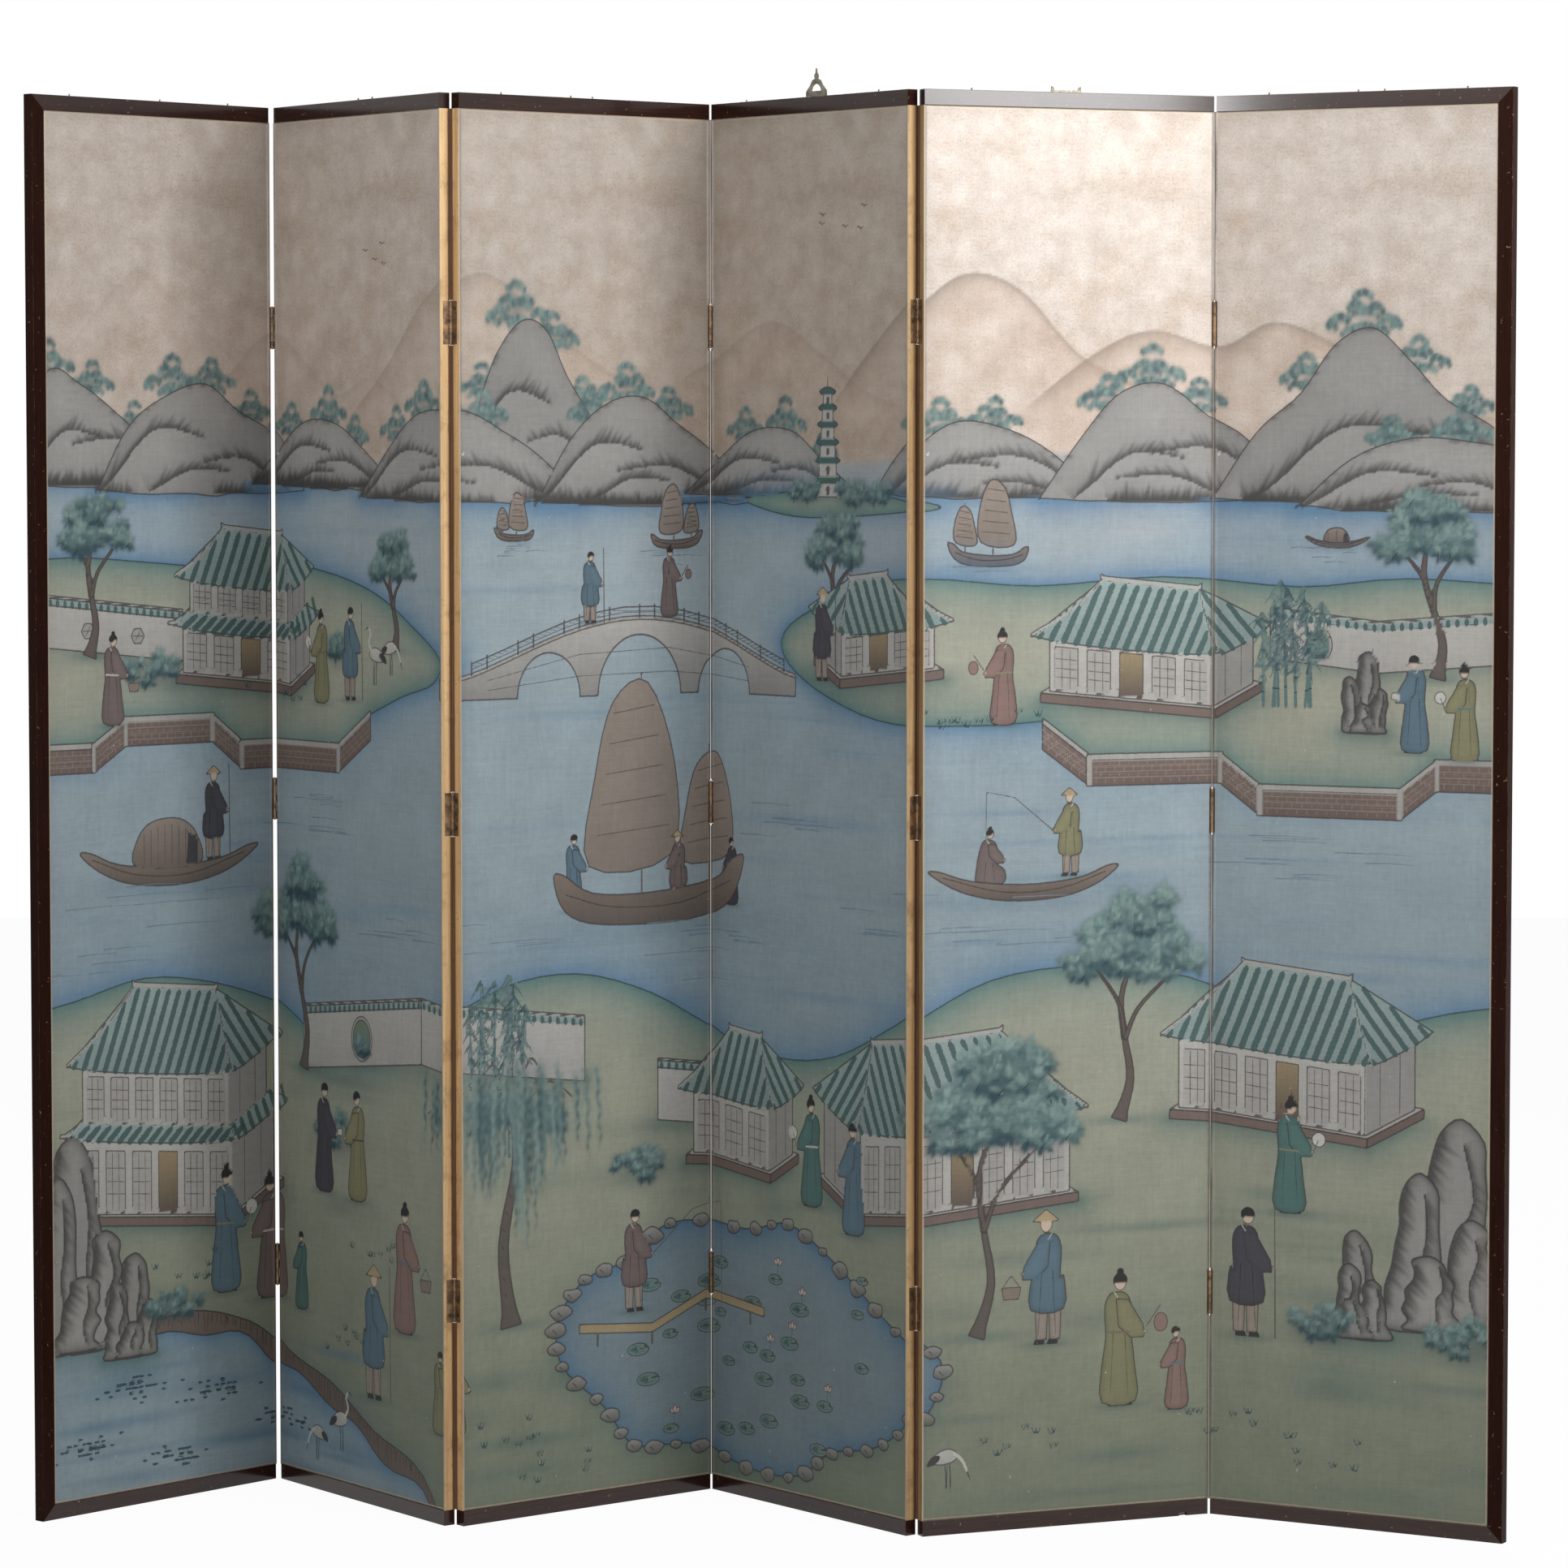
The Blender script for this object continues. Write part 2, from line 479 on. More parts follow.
def quay(points, tall=30, cap=8, course=7.5):
    # A brick river wall below a line of points: a pale coping, bricks in courses, corner stones
    p = np.asarray(points, float)
    for a, b in zip(p[:-1], p[1:]):
        shape(upright(a, b, 0, -tall), shade["brick"], 0.9, down=shade["brick"] * 0.8)
        shape(upright(a, b, cap * 0.6, -cap * 0.4), shade["coping"], 0.9)
        steps = max(int(np.hypot(*(b - a)) / 13), 1)
        rows = int((tall - cap * 0.4) / course)
        for row in range(1, rows):
            drop = (0, cap * 0.4 + row * course)
            line([a - drop, b - drop], 0.55, shade["mortar"])
        for row in range(rows):
            for i in range(steps):
                s = a + (b - a) * (i + 0.5 * (row % 2) + 0.25) / steps - (0, cap * 0.4 + row * course)
                line([s - (0, 1), s - (0, 7)], 0.5, shade["mortar"], layer=1)
    for q in p[1:-1]:
        shape(upright(q - (4, 0), q + (4, 0), cap * 0.6, -tall), shade["coping"] * 0.95, 0.8)


def earthBank(points, tall, seed):
    # The cut edge of the land above water: a brown band with upright strokes, and blue water below it
    top = rounded(points, 5, False)
    rng = np.random.default_rng(seed)
    foot = top - np.array([0, tall]) * (0.85 + 0.25 * np.sin(np.arange(len(top)) * 0.9))[:, None]
    rows, cols, u, v = part(foot, 60)
    line0 = np.interp(u[0], foot[:, 0], foot[:, 1])[None, :]
    tint(rows, cols, 0.85 * np.exp(-np.maximum(line0 - v, 0) / 18) * (v < line0 + 3), shade["bank"])
    shape(np.vstack([top, foot[::-1]]), shade["brick"] * 1.02, 1.0, down=shade["timberDark"] * 0.8)
    for x in np.arange(top[0, 0], top[-1, 0], 7.5):
        x = x + rng.uniform(-2, 2)
        high, low = np.interp(x, top[:, 0], top[:, 1]), np.interp(x, foot[:, 0], foot[:, 1])
        tip = (x + rng.uniform(-2, 2), high - (high - low) * rng.uniform(0.45, 0.95))
        line([(x, high - 2), tip], 0.8, shade["timberDark"] * 0.5, 0.3, layer=int(x) % 2)


def duckweed(u0, v0, wideU, wideV, count, seed):  # small floating leaves in drifts
    rng = np.random.default_rng(seed)
    for i in range(count):
        p = np.array([u0 + wideU * rng.normal(0, 0.45), v0 + wideV * rng.normal(0, 0.45)])
        p[1] -= p[1] % 7
        line([p - (3.2, 0), p + (3.2, rng.uniform(-0.8, 0.8))], 2.0, shade["leafDark"] * 0.9, 1.0,
            layer=i % 2)


def ripple(u0, v0, wide, count, seed, colour=None):  # level lines on the water
    rng = np.random.default_rng(seed)
    for i in range(count):
        du, dv = rng.normal(0, wide * 0.35), rng.uniform(-1, 1) * wide * 0.16
        w = wide * rng.uniform(0.12, 0.3)
        v = v0 + dv - (dv % 6)
        line([(u0 + du - w, v), (u0 + du, v + 1.2), (u0 + du + w, v - 0.5)], 0.8,
            shade["waterDeep"] * 0.75 if colour is None else colour, 0.2)


def tiles(corners, pitch=17.0, curve=0.0, hips=(0.0, 0.0)):
    # A tiled roof slope. corners run ridge left, ridge right, eaves right, eaves left; the eaves sag
    # between their lifted corners. Ribs run straight up from the eaves and end at the ridge or at the
    # hips, which take up the given shares of the eaves at each end
    a, b, c, d = (np.asarray(q, float) for q in corners)
    t = np.linspace(0, 1, 13)[:, None]
    eaves = d + (c - d) * t + np.array([0, 1.0]) * curve * (np.abs(2 * t - 1) ** 3)
    ridge = a + (b - a) * t
    shape(np.vstack([ridge, eaves[::-1]]), shade["tile"], 1.0, down=shade["tile"] * 0.8)
    count = max(int(np.hypot(*(c - d)) / pitch), 2)
    rise = a - (d + (c - d) * hips[0])
    for i in range(count):
        s = (i + 0.5) / count
        e = d + (c - d) * s + np.array([0, 1.0]) * curve * abs(2 * s - 1) ** 3
        up = min(1.0, s / max(hips[0], 1e-6), (1 - s) / max(hips[1], 1e-6))
        r = d + (c - d) * s + rise * up
        rib = rounded([r, (e + r) / 2 - (0, 0.2 * curve * up), e], 3, False)
        line(rib, pitch * 0.24, shade["tileDark"], pitch * 0.26, layer=i % 2)


def beam(points, wide, colour=None, rim=0.8):  # a pale band along a line, such as a ridge or a step
    p = np.asarray(points, float)
    shape(np.vstack([p + (0, wide / 2), (p - (0, wide / 2))[::-1]]),
        shade["ridge"] if colour is None else colour, rim)


def pavilion(u0, v0, wide, deep, tall, roof, flip=1, storeys=1, openFront=True):
    # A hall on a stone terrace under a hipped roof with lifted corners, drawn in oblique projection:
    # x along its front, y towards the back up and to one side, z up
    def at(x, y, z):
        return np.stack([u0 + flip * (x + 0.62 * y) + 0 * z, v0 + z + 0.34 * y - 0.1 * x], -1)

    def side(*spans):  # the corners of a flat side: two of its x, y and z are pairs
        ways = iter(((0, 1, 1, 0), (0, 0, 1, 1)))
        return at(*(np.take(s, next(ways)) if np.ndim(s) else s for s in spans))
    step = 12
    ground, aside = (-8, wide + 8), (-8, deep + 8)
    groundShade(side(ground, aside, 0), 17)
    shape(side(ground, -8, (0, step)), shade["brick"], 0.9)
    shape(side(wide + 8, aside, (0, step)), shade["brick"] * 0.85, 0.9)
    shape(side(ground, aside, step), shade["coping"], 0.9)
    base = step
    for level in range(storeys):
        last = level == storeys - 1
        inset = level * 9
        x0, x1, y0, y1 = inset, wide - inset, inset * 0.6, deep - inset * 0.6
        z0, z1 = base, base + tall * (1.0 if level == 0 else 0.75)
        shape(side(x1, (y0, y1), (z0, z1)), shade["wallShade"], 0.9)
        shape(side((x0, x1), y0, (z0, z1)), shade["wall"], 0.9, down=shade["wall"] * 0.92)
        bays = max(int((x1 - x0) / 42), 2)
        za, zb = z0 + 3, z1 - (z1 - z0) * 0.2
        for i in range(bays):
            xa, xb = x0 + (x1 - x0) * (i + 0.14) / bays, x0 + (x1 - x0) * (i + 0.86) / bays
            if openFront and i == bays // 2 and level == 0:
                shape(side((xa, xb), y0, (za, zb)), shade["straw"] * 0.75, 0.7, down=shade["timberDark"])
                continue
            shape(side((xa, xb), y0, (za, zb)), shade["wall"] * 0.82, 0.7)
            for f in (0.33, 0.67):
                xm = xa + (xb - xa) * f
                line([at(xm, y0, za + 2), at(xm, y0, zb - 2)], 0.5, shade["ink"] * 1.4)
            for f in (0.3, 0.5, 0.72):
                zm = za + (zb - za) * f
                line([at(xa + 1, y0, zm), at(xb - 1, y0, zm)], 0.5, shade["ink"] * 1.4, layer=1)
        for f in (0.3, 0.7):
            ym = y0 + (y1 - y0) * f
            line([at(x1, ym, z0 + 4), at(x1, ym, z1 - 4)], 0.5, shade["ink"] * 1.4)
        # the roof: ea, eb, ec are corners of the eaves; ra, rb, rc end the ridge or the upper storey's foot
        over, rise = 15, roof if last else 14
        ea, eb = at(x0 - over, y0 - over, z1 - 4), at(x1 + over, y0 - over, z1 - 4)
        ec = at(x1 + over, y1 + over, z1 - 4)
        if last:
            inner = (y1 - y0) * 0.45 + over * 0.5
            ra, rb = (at(x, (y0 + y1) / 2, z1 + rise) for x in (x0 + inner, x1 - inner))
            rc, share, half = rb, (inner + over) / (x1 - x0 + 2 * over), 0.5
        else:
            ra, rb = (at(x, y0 + 6, z1 + rise) for x in (x0 + 6, x1 - 6))
            rc, share, half = at(x1 - 6, y1 - 6, z1 + rise), 0.03, 0.03
        for (p, q, r, s), pitch, curve, hip in (((rb, rc + (0.1, 0), ec, eb), 15, 5, half),
                                                ((ra, rb, eb, ea), 17, 6, share)):
            tiles([p, q, r, s] if flip > 0 else [q, p, s, r], pitch, curve, (hip, hip))
        beam(rounded([ea + (-2 * flip, 7), (ea + ra) / 2 + (0, -3), ra], 4, False), 5.0)
        beam(rounded([eb + (3 * flip, 7), (eb + rb) / 2 + (0, -3), rb], 4, False), 5.0)
        if last:
            beam([ra - (5 * flip, -4), ra, rb, rb + (5 * flip, 4)], 6.5)
        base = z1 + rise - 3


def gardenWall(points, tall, openings=(), seed=3):
    # A long plastered wall with a tiled cap; openings are (place along it 0 to 1, kind)
    p = np.asarray(points, float)
    for a, b in zip(p[:-1], p[1:]):
        groundShade(upright(a, b, 0, 8), 13, 0.6)
        shape(upright(a, b, 0, tall), shade["wall"], 0.9, down=shade["wall"] * 0.86)
        tiles(upright(a, b, tall + 9, tall - 1), pitch=12)
        beam([a + (0, tall + 10), b + (0, tall + 10)], 3.5)
    for f, kind in openings:
        c = p[0] + (p[1] - p[0]) * f + (0, tall * 0.48)
        if kind == "round":
            r = tall * 0.4
            ring = arc(c, r * 0.85, r, 24)
            shape(ring, shade["coping"], 0.8)
            shape((ring - c) * 0.84 + c, shade["grassLow"], 0.8, down=shade["grassEdge"])
            bush(c[0] - r * 0.1, c[1] - r * 0.55, r * 0.8, seed)
        else:
            at = placer(c[0], c[1], tall * 0.2)
            shape(arc(c, tall * 0.2, tall * 0.2, 6), shade["wall"] * 0.75, 0.8)
            line(at(-0.8, 0, 0.8, 0), 0.5, shade["ink"] * 1.3)
            line(at(-0.45, -0.7, 0.45, 0.7), 0.5, shade["ink"] * 1.3, layer=1)


def pagoda(u0, v0, wide, storeys, tall, rim=0.8):  # a slim tower of shrinking storeys
    at, base = placer(u0, v0, 1.0), 0
    for i in range(storeys):
        w = wide * (1 - 0.11 * i) / 2
        e, top = w + 8, base + tall
        shape(at(-w, base, w, base, w - 1, top, 1 - w, top), shade["wall"], rim)
        sill, head = base + 2, base + tall * 0.62
        shape(at(-2.6, sill, 2.6, sill, 2.6, head, -2.6, head), shade["robeDark"] * 1.3, 0.5)
        shape(rounded(at(-e, top + 1, -e * 0.6, top - 3, e * 0.6, top - 3, e, top + 1, w * 0.72, top + 6,
            -w * 0.72, top + 6), 3), shade["tileDark"] * 1.2, rim)
        base += tall + 5
        tall *= 0.94
    line(at(0, base, 0, base + 16), 1.4, shade["timberDark"], 0.5)


def bridge(u0, v0, span, rise, thick, arches=1, posts=9):
    # A hump-backed stone bridge: a bowed deck, half-round openings and a post-and-rail parapet
    t = np.linspace(0, 1, 25)
    deck = np.stack([u0 + span * t, v0 + rise * np.sin(np.pi * t) ** 1.3], 1)
    under = np.stack([u0 + span * t, np.full(25, v0 - thick)], 1)
    outline = np.vstack([deck, under[::-1]])
    rows, cols, u, v = part(outline, 5)
    depth = insideDepth(outline, u, v)
    for i in range(arches):
        cu = u0 + span * (i + 1) / (arches + 1)
        r = span * (0.2 if arches == 1 else 0.3 / arches) * (1.15 if 2 * (i + 1) == arches + 1 else 0.85)
        hole = r - np.hypot(u - cu, np.maximum(v - (v0 - thick), 0) / 1.15)
        depth = np.minimum(depth, -hole)
    down = np.clip((v0 + rise - v) / (rise + thick), 0, 1) + 0 * u
    layShape(rows, cols, depth, mixIn(shade["wall"], shade["wallShade"] * 0.9, down))
    for level in (0.3, 0.62):
        x, y = deck[2:-2].T
        course = np.stack([x, v0 - thick + (y - v0 + thick) * level], 1)[::6]
        line(course, 0.45, shade["ink"] * 1.8)
    beam(deck, 5, shade["coping"])
    rail = deck + (0, 15)
    for i in np.linspace(1, 23, posts).astype(int):
        line([deck[i], rail[i] + (0, 3)], 1.3, shade["ink"] * 1.5, 1.3, layer=1)
    line(rail[1:-1:2], 1.0, shade["ink"] * 1.5)
    line((deck + (0, 8))[1:-1:2], 0.6, shade["ink"] * 1.8)


def figure(u0, v0, tall, robe, flip=1, hat=None, holds=None, sash=None, seated=False):
    # A small robed figure without a face: hem, robe, sleeves, head and hair. Those that travel wear a
    # short tunic over pale trousers
    h, at = tall, placer(u0, v0, tall, flip)
    softSpot(u0, v0, h * 0.2, h * 0.035, shade["grassEdge"] * 0.55, 0.5)
    for x in (-0.05, 0.06):
        shape(at(x - 0.035, 0, x + 0.06, 0, x + 0.04, 0.04, x - 0.03, 0.04), shade["hair"] * 1.5, 0.3)
    if seated:
        body = pairs(-0.16, 0.03, 0.2, 0.03, 0.22, 0.2, 0.1, 0.3, 0.11, 0.5, 0.05, 0.58, -0.07, 0.58, -0.13,
            0.45, -0.17, 0.25)
        headY, handY = 0.66, 0.36
    else:
        body = pairs(-0.13, 0.03, 0.14, 0.03, 0.13, 0.3, 0.1, 0.55, 0.1, 0.74, 0.05, 0.82, -0.06, 0.82,
            -0.11, 0.72, -0.1, 0.5, -0.13, 0.3)
        headY, handY = 0.9, 0.56
    if (hat == "cone" or holds in ("staff", "rod")) and not seated:
        for x in (-0.055, 0.055):
            shape(at(x - 0.045, 0.035, x + 0.04, 0.035, x + 0.05, 0.34, x - 0.055, 0.34),
                shade["mat"] * 1.25, 0.6, edge=shade["mat"] * 0.8, edgeReach=2)
        body = [(x, 0.26 + max(y - 0.03, 0) * 0.93 if y < 0.31 else y) for x, y in body]
    shape(rounded(at(*body), 3), robe, 0.75, edge=robe * 0.68, edgeReach=4)
    for x in (-0.04, 0.05):
        line(at(x, headY - 0.35, x * 1.6, 0.06), 0.6, robe * 0.4, 0.3)
    line(at(-0.035, headY - 0.07, 0.015, headY - 0.14, 0.03, headY - 0.3), 0.9, shade["white"] * 0.85, 0.4,
        layer=1)
    arm = at(-0.02, headY - 0.12, 0.08, headY - 0.13, 0.2, handY + 0.02, 0.21, handY - 0.07, 0.1,
        handY - 0.07, 0.0, handY + 0.02)
    shape(arm, robe * 1.08, 0.65, edge=robe * 0.75, edgeReach=3)
    if sash is not None:
        line(at(-0.09, handY - 0.02, 0.09, handY - 0.03), 1.3, sash, layer=1)
    hand = at(0.22, handY - 0.03)
    shape(hand + pairs(-1.8, -1.5, 1.8, -1.5, 2.0, 1.6, -1.6, 1.8), shade["skin"], 0.3)
    c, r = at(0.015, headY), h * 0.055
    shape(arc(c, r * 0.86, r * 1.1), shade["skin"], 0.5)
    if hat == "cone":
        shape([c + (-r * 2.1, r * 0.35), c + (r * 2.1, r * 0.35), c + (0, r * 2.0)], shade["straw"], 0.6)
    else:
        shape(arc(c + (0, r * 0.2), r * 1.05, r, np.linspace(-0.2, np.pi + 0.5, 9)), shade["hair"], 0.4)
        if hat == "bun":
            shape(arc(c + (0, r * 1.35), r * 0.5, r * 0.5), shade["hair"], 0.4)
    if holds == "staff":
        line(at(0.24, 0.0, 0.23, 1.02), 1.0, shade["timberDark"], 0.8, layer=1)
    elif holds == "fan":
        p = at(0.27, handY + 0.08)
        shape(arc(p, h * 0.062, h * 0.062), shade["white"], 0.6)
        line([hand, p], 0.7, shade["timberDark"], layer=1)
    elif holds == "rod":
        line(at(0.2, handY - 0.05, 0.7, handY + 0.35, 1.05, handY + 0.42), 0.8, shade["timberDark"], 0.4,
            layer=1)
        line(at(1.05, handY + 0.42, 1.06, handY - 0.55), 0.45, shade["ink"] * 1.6, layer=1)
    elif holds == "lantern":
        line(at(0.22, handY, 0.34, handY + 0.16), 0.8, shade["timberDark"], layer=1)
        shape(arc(at(0.34, handY + 0.03), h * 0.055, h * 0.07), shade["robeRose"], 0.6)
    elif holds == "basket":
        near = placer(*at(0.3, handY - 0.12), h)
        shape(near(-0.08, 0, 0.08, 0, 0.06, -0.09, -0.06, -0.09), shade["timber"], 0.6)
        line(near(-0.07, 0, 0, 0.09, 0.07, 0), 0.7, shade["timberDark"], layer=1)
    elif holds == "scroll":
        p = at(0.24, handY)
        shape(p + pairs(-2, -4, 9, -6, 10, 3, -1, 4), shade["white"], 0.5)


def sampan(u0, v0, long, flip=1, awning=True, seed=5):
    # A low river boat: a crescent hull with a board line, an awning of mats, and wash below it
    at = placer(u0, v0, long, flip)
    softSpot(*at(0.5, -0.02), long * 0.55, long * 0.07, shade["waterDeep"] * 0.8, 0.55)
    hull = at(-0.03, 0.14, 0.1, 0.05, 0.3, -0.01, 0.6, -0.02, 0.85, 0.03, 1.03, 0.13, 0.97, 0.135, 0.8,
        0.085, 0.5, 0.06, 0.2, 0.085, 0.03, 0.145)
    shape(rounded(hull, 4), shade["timber"], 1.0, down=shade["timberDark"])
    line(rounded(at(0.04, 0.115, 0.3, 0.035, 0.62, 0.025, 0.95, 0.105), 4, False), 0.7, shade["ink"])
    if awning:
        roof = rounded(at(0.3, 0.07, 0.31, 0.2, 0.4, 0.27, 0.56, 0.275, 0.66, 0.2, 0.67, 0.065), 4)
        shape(roof, shade["mat"], 0.9, down=shade["timberDark"] * 1.3)
        for x in np.arange(0.345, 0.65, 12 / long):
            lift = 0.27 - 0.9 * (x - 0.485) ** 2 * 2.6
            line(at(x, 0.075, x, lift - 0.012), 0.7, shade["timberDark"])
        shape(at(0.6, 0.07, 0.67, 0.068, 0.66, 0.19, 0.61, 0.21), shade["hair"] * 2.4, 0.5)
    ripple(*at(0.5, -0.1), long * 0.9, 9, seed)


def junk(u0, v0, long, flip=1, seed=6, crew=()):
    # A sailing boat: a high-sterned hull and two fan-shaped sails with battens
    at = placer(u0, v0, long, flip)
    softSpot(*at(0.5, -0.02), long * 0.5, long * 0.07, shade["waterDeep"] * 0.8, 0.5)
    line(at(0.45, 0.12, 0.45, 1.02), 1.4, shade["timberDark"], 0.9)
    line(at(0.8, 0.12, 0.8, 0.72), 1.2, shade["timberDark"], 0.8)
    for x0, y0, w, h in ((0.18, 0.24, 0.42, 0.74), (0.66, 0.24, 0.26, 0.44)):
        sail = at(x0, y0, x0 + w, y0 + 0.03, x0 + w * 1.05, y0 + h * 0.55, x0 + w * 0.72, y0 + h,
            x0 + w * 0.3, y0 + h * 0.9, x0 + w * 0.08, y0 + h * 0.5)
        shape(rounded(sail, 4), shade["mat"] * 1.12, 0.9, down=shade["mat"] * 0.85)
        for k in range(1, 6):
            y = y0 + h * k / 6
            batten = at(x0 + w * (0.05 + 0.05 * k), y, x0 + w * (1.03 - 0.045 * k), y + 0.03)
            line(batten, 0.7, shade["timberDark"], layer=1)
    for x, tall, robe, turned, hat in crew:
        figure(*at(x, 0.06), tall, shade[robe], turned, hat)
    hull = at(0.0, 0.2, 0.06, 0.06, 0.25, 0.0, 0.7, 0.0, 0.93, 0.08, 1.02, 0.26, 0.94, 0.25, 0.82, 0.16,
        0.5, 0.12, 0.2, 0.13, 0.05, 0.21)
    shape(rounded(hull, 4), shade["timber"], 1.0, down=shade["timberDark"])
    line(rounded(at(0.06, 0.13, 0.3, 0.07, 0.65, 0.07, 0.93, 0.16), 4, False), 0.7, shade["ink"])
    ripple(*at(0.5, -0.12), long * 0.9, 7, seed)


def gardenRock(u0, v0, wide, tall, seed):
    # A tall worn rock: lobed masses that overlap, the nearer ones lower. Each has dark teeth that reach
    # in from its left side and from a fold that runs down it
    rng = np.random.default_rng(seed)
    at, dark = placer(u0, v0, 1.0), shade["rockDark"]
    groundShade(at(-wide * 0.5, 0, wide * 0.5, 0, wide * 0.45, 12, -wide * 0.45, 12), 17, 0.8)
    rise = np.linspace(0, 1, 8)
    for i, (du, w, h) in enumerate(((0.06, 0.72, 1.0), (-0.24, 0.5, 0.74), (0.27, 0.46, 0.56),
            (-0.04, 0.5, 0.36))):
        centre, half, high = u0 + wide * du, wide * w / 2, tall * h * rng.uniform(0.92, 1.08)
        lean = wide * rng.uniform(-0.16, 0.16)
        slim = half * (1 - 0.42 * rise ** 2)
        left, right = (np.stack([centre + lean * rise + way * slim * rng.uniform(0.78, 1.16, 8),
            v0 + high * rise * low], 1) for way, low in ((-1, 1.0), (1, 0.96)))
        outline = rounded(np.vstack([left, [(centre + lean, v0 + high * 1.07)], right[::-1]]), 3)
        shape(outline, shade["rockPale"] * (0.9 + 0.06 * i), 1.2, edge=dark * 0.9, edgeReach=7)
        side = rounded(left[1:] + (2, 0), 3, False)
        crease(side, (0.8, -0.75), wide * 0.2, dark * 0.5, seed * 7 + i, 0.85, 0.7, 1.0)
        fold = [(centre + lean * y + half * x, v0 + high * y)
            for x, y in ((0.1, 0.92), (0.3, 0.66), (0.12, 0.42), (0.34, 0.14))]
        fold = rounded(wobble(fold, half * 0.08, seed + i), 4, False)
        line(fold, 1.1, dark * 0.45, 0.4, layer=i % 2)
        crease(fold, (0.75, -0.8), wide * 0.15, dark * 0.5, seed * 11 + i, 0.85, 1.0, 0.4)


def stones(points, size, seed):  # small stones set along a line
    rng = np.random.default_rng(seed)
    for p in points:
        r = size * rng.uniform(0.7, 1.3)
        ring = wobble(arc(p, 1.3 * r, 0.8 * r, 8), r * 0.09, rng.integers(1e6))
        shape(rounded(ring, 3), shade["rockPale"], 0.9, down=shade["rockDark"] * 1.1)
        line([p + (-0.5 * r, 0.1 * r), p + (0.1 * r, -0.45 * r)], 1.0, shade["rockDark"] * 0.6, 0.3)


def willow(u0, v0, high, spread, seed, strands=34):
    # A willow: a bent trunk, a soft crown and long hanging strands set with narrow leaves
    rng = np.random.default_rng(seed)
    softSpot(u0, v0, spread * 0.4, 7, shade["grassEdge"] * 0.7, 0.5)
    spine = rounded([(u0, v0), (u0 - 12, v0 + high * 0.35), (u0 + 8, v0 + high * 0.7),
        (u0 + 2, v0 + high * 0.95)], 5, False)
    stem(spine, np.linspace(10, 3.5, len(spine)) + np.exp(-np.arange(len(spine)) * 1.2) * 7, 1.0, 4)
    for s in spine[2:9]:
        line([s + (-3, 2), s + (1, -4)], 0.8, shade["ink"], 0.3)
    crown = np.array([u0 + 4, v0 + high * 0.82])
    boughs = [(-1.0, 0.30, 0.75), (-0.55, 0.42, 0.9), (0.5, 0.44, 0.95), (0.95, 0.3, 0.7), (0.0, 0.5, 1.0)]
    softSpot(u0, v0 + high * 0.95, spread * 0.6, high * 0.25, shade["leafMid"], 0.4)
    for du, dv, _ in boughs:
        tip = crown + (du * spread, dv * high * 0.35)
        bough = rounded([crown, crown + (du * spread * 0.45, dv * high * 0.75), tip], 6, False)
        line(bough, 2.6, shade["bark"] * 0.8, 1.2)
    for du, dv, _ in boughs:
        place = (u0 + 4 + du * spread * 0.55, v0 + high * (0.84 + 0.2 * dv))
        clumps(*place, spread * 0.3, high * 0.06, 5, 13, rng.integers(1e6), 1.05)
    for i in range(strands):
        du, dv, reachDown = boughs[i % len(boughs)]
        f = rng.uniform(0.15, 1.15)
        arch = high * 0.36 * np.sin(min(f, 1.1) * 1.6) * (0.5 + dv)
        s = crown + (du * spread * f + rng.normal(0, 9), arch + rng.normal(0, 5))
        long = high * rng.uniform(0.35, 0.66) * reachDown
        out = np.sign(s[0] - u0) * rng.uniform(1, 9)
        tone = mixIn(shade["leafDark"], shade["leafPale"], rng.uniform(0.05, 0.9))
        rows, cols, u, v = part([s - (14, long), s + (14, 0)], 3)
        # a hanging streak: a bell across, beaded with leaves along
        t = (s[1] - v) / long
        swing = out * np.sin(1.5 * np.clip(t, 0, 1)) + 1.6 * np.sin(v / 5.3 + i)
        amount = 0.9 * np.exp(-((u - s[0] - swing) / (3.6 - 1.2 * t)) ** 2) * np.clip(6 * t, 0, 1)
        amount *= np.clip(5 * (1 - t), 0, 1) * (0.72 + 0.28 * np.sin(v / 2.4 + 2 * i))
        cover(rows, cols, amount, tone)


def bamboo(u0, v0, high, count, seed):
    # A stand of bamboo: jointed stems that lean a little, with hands of pointed leaves
    rng = np.random.default_rng(seed)
    for i in range(count):
        x = u0 + (i - count / 2) * 11 + rng.normal(0, 2)
        lean, h = rng.normal(0, 12), high * rng.uniform(0.75, 1.05)
        cane = rounded([(x, v0), (x + lean * 0.3, v0 + h * 0.5), (x + lean, v0 + h)], 6, False)
        line(cane, 2.2, shade["leafMid"] * 0.95, 1.0)
        for s in cane[2::2]:
            line([s - (2.6, 0), s + (2.6, 0)], 0.8, shade["leafDark"] * 0.6, layer=1)
        for s in np.repeat(cane[5:], 4, 0):
            a = rng.uniform(-2.6, -0.5)
            tip = s + np.array([np.cos(a), np.sin(a)]) * rng.uniform(16, 26)
            leaf = [s + (0, rng.uniform(-6, 6)), (s + tip) / 2 + (0, 2), tip]
            line(leaf, 2.3, mixIn(shade["leafDark"], shade["leafPale"], rng.uniform(0, 0.7)), 0.3, layer=1)


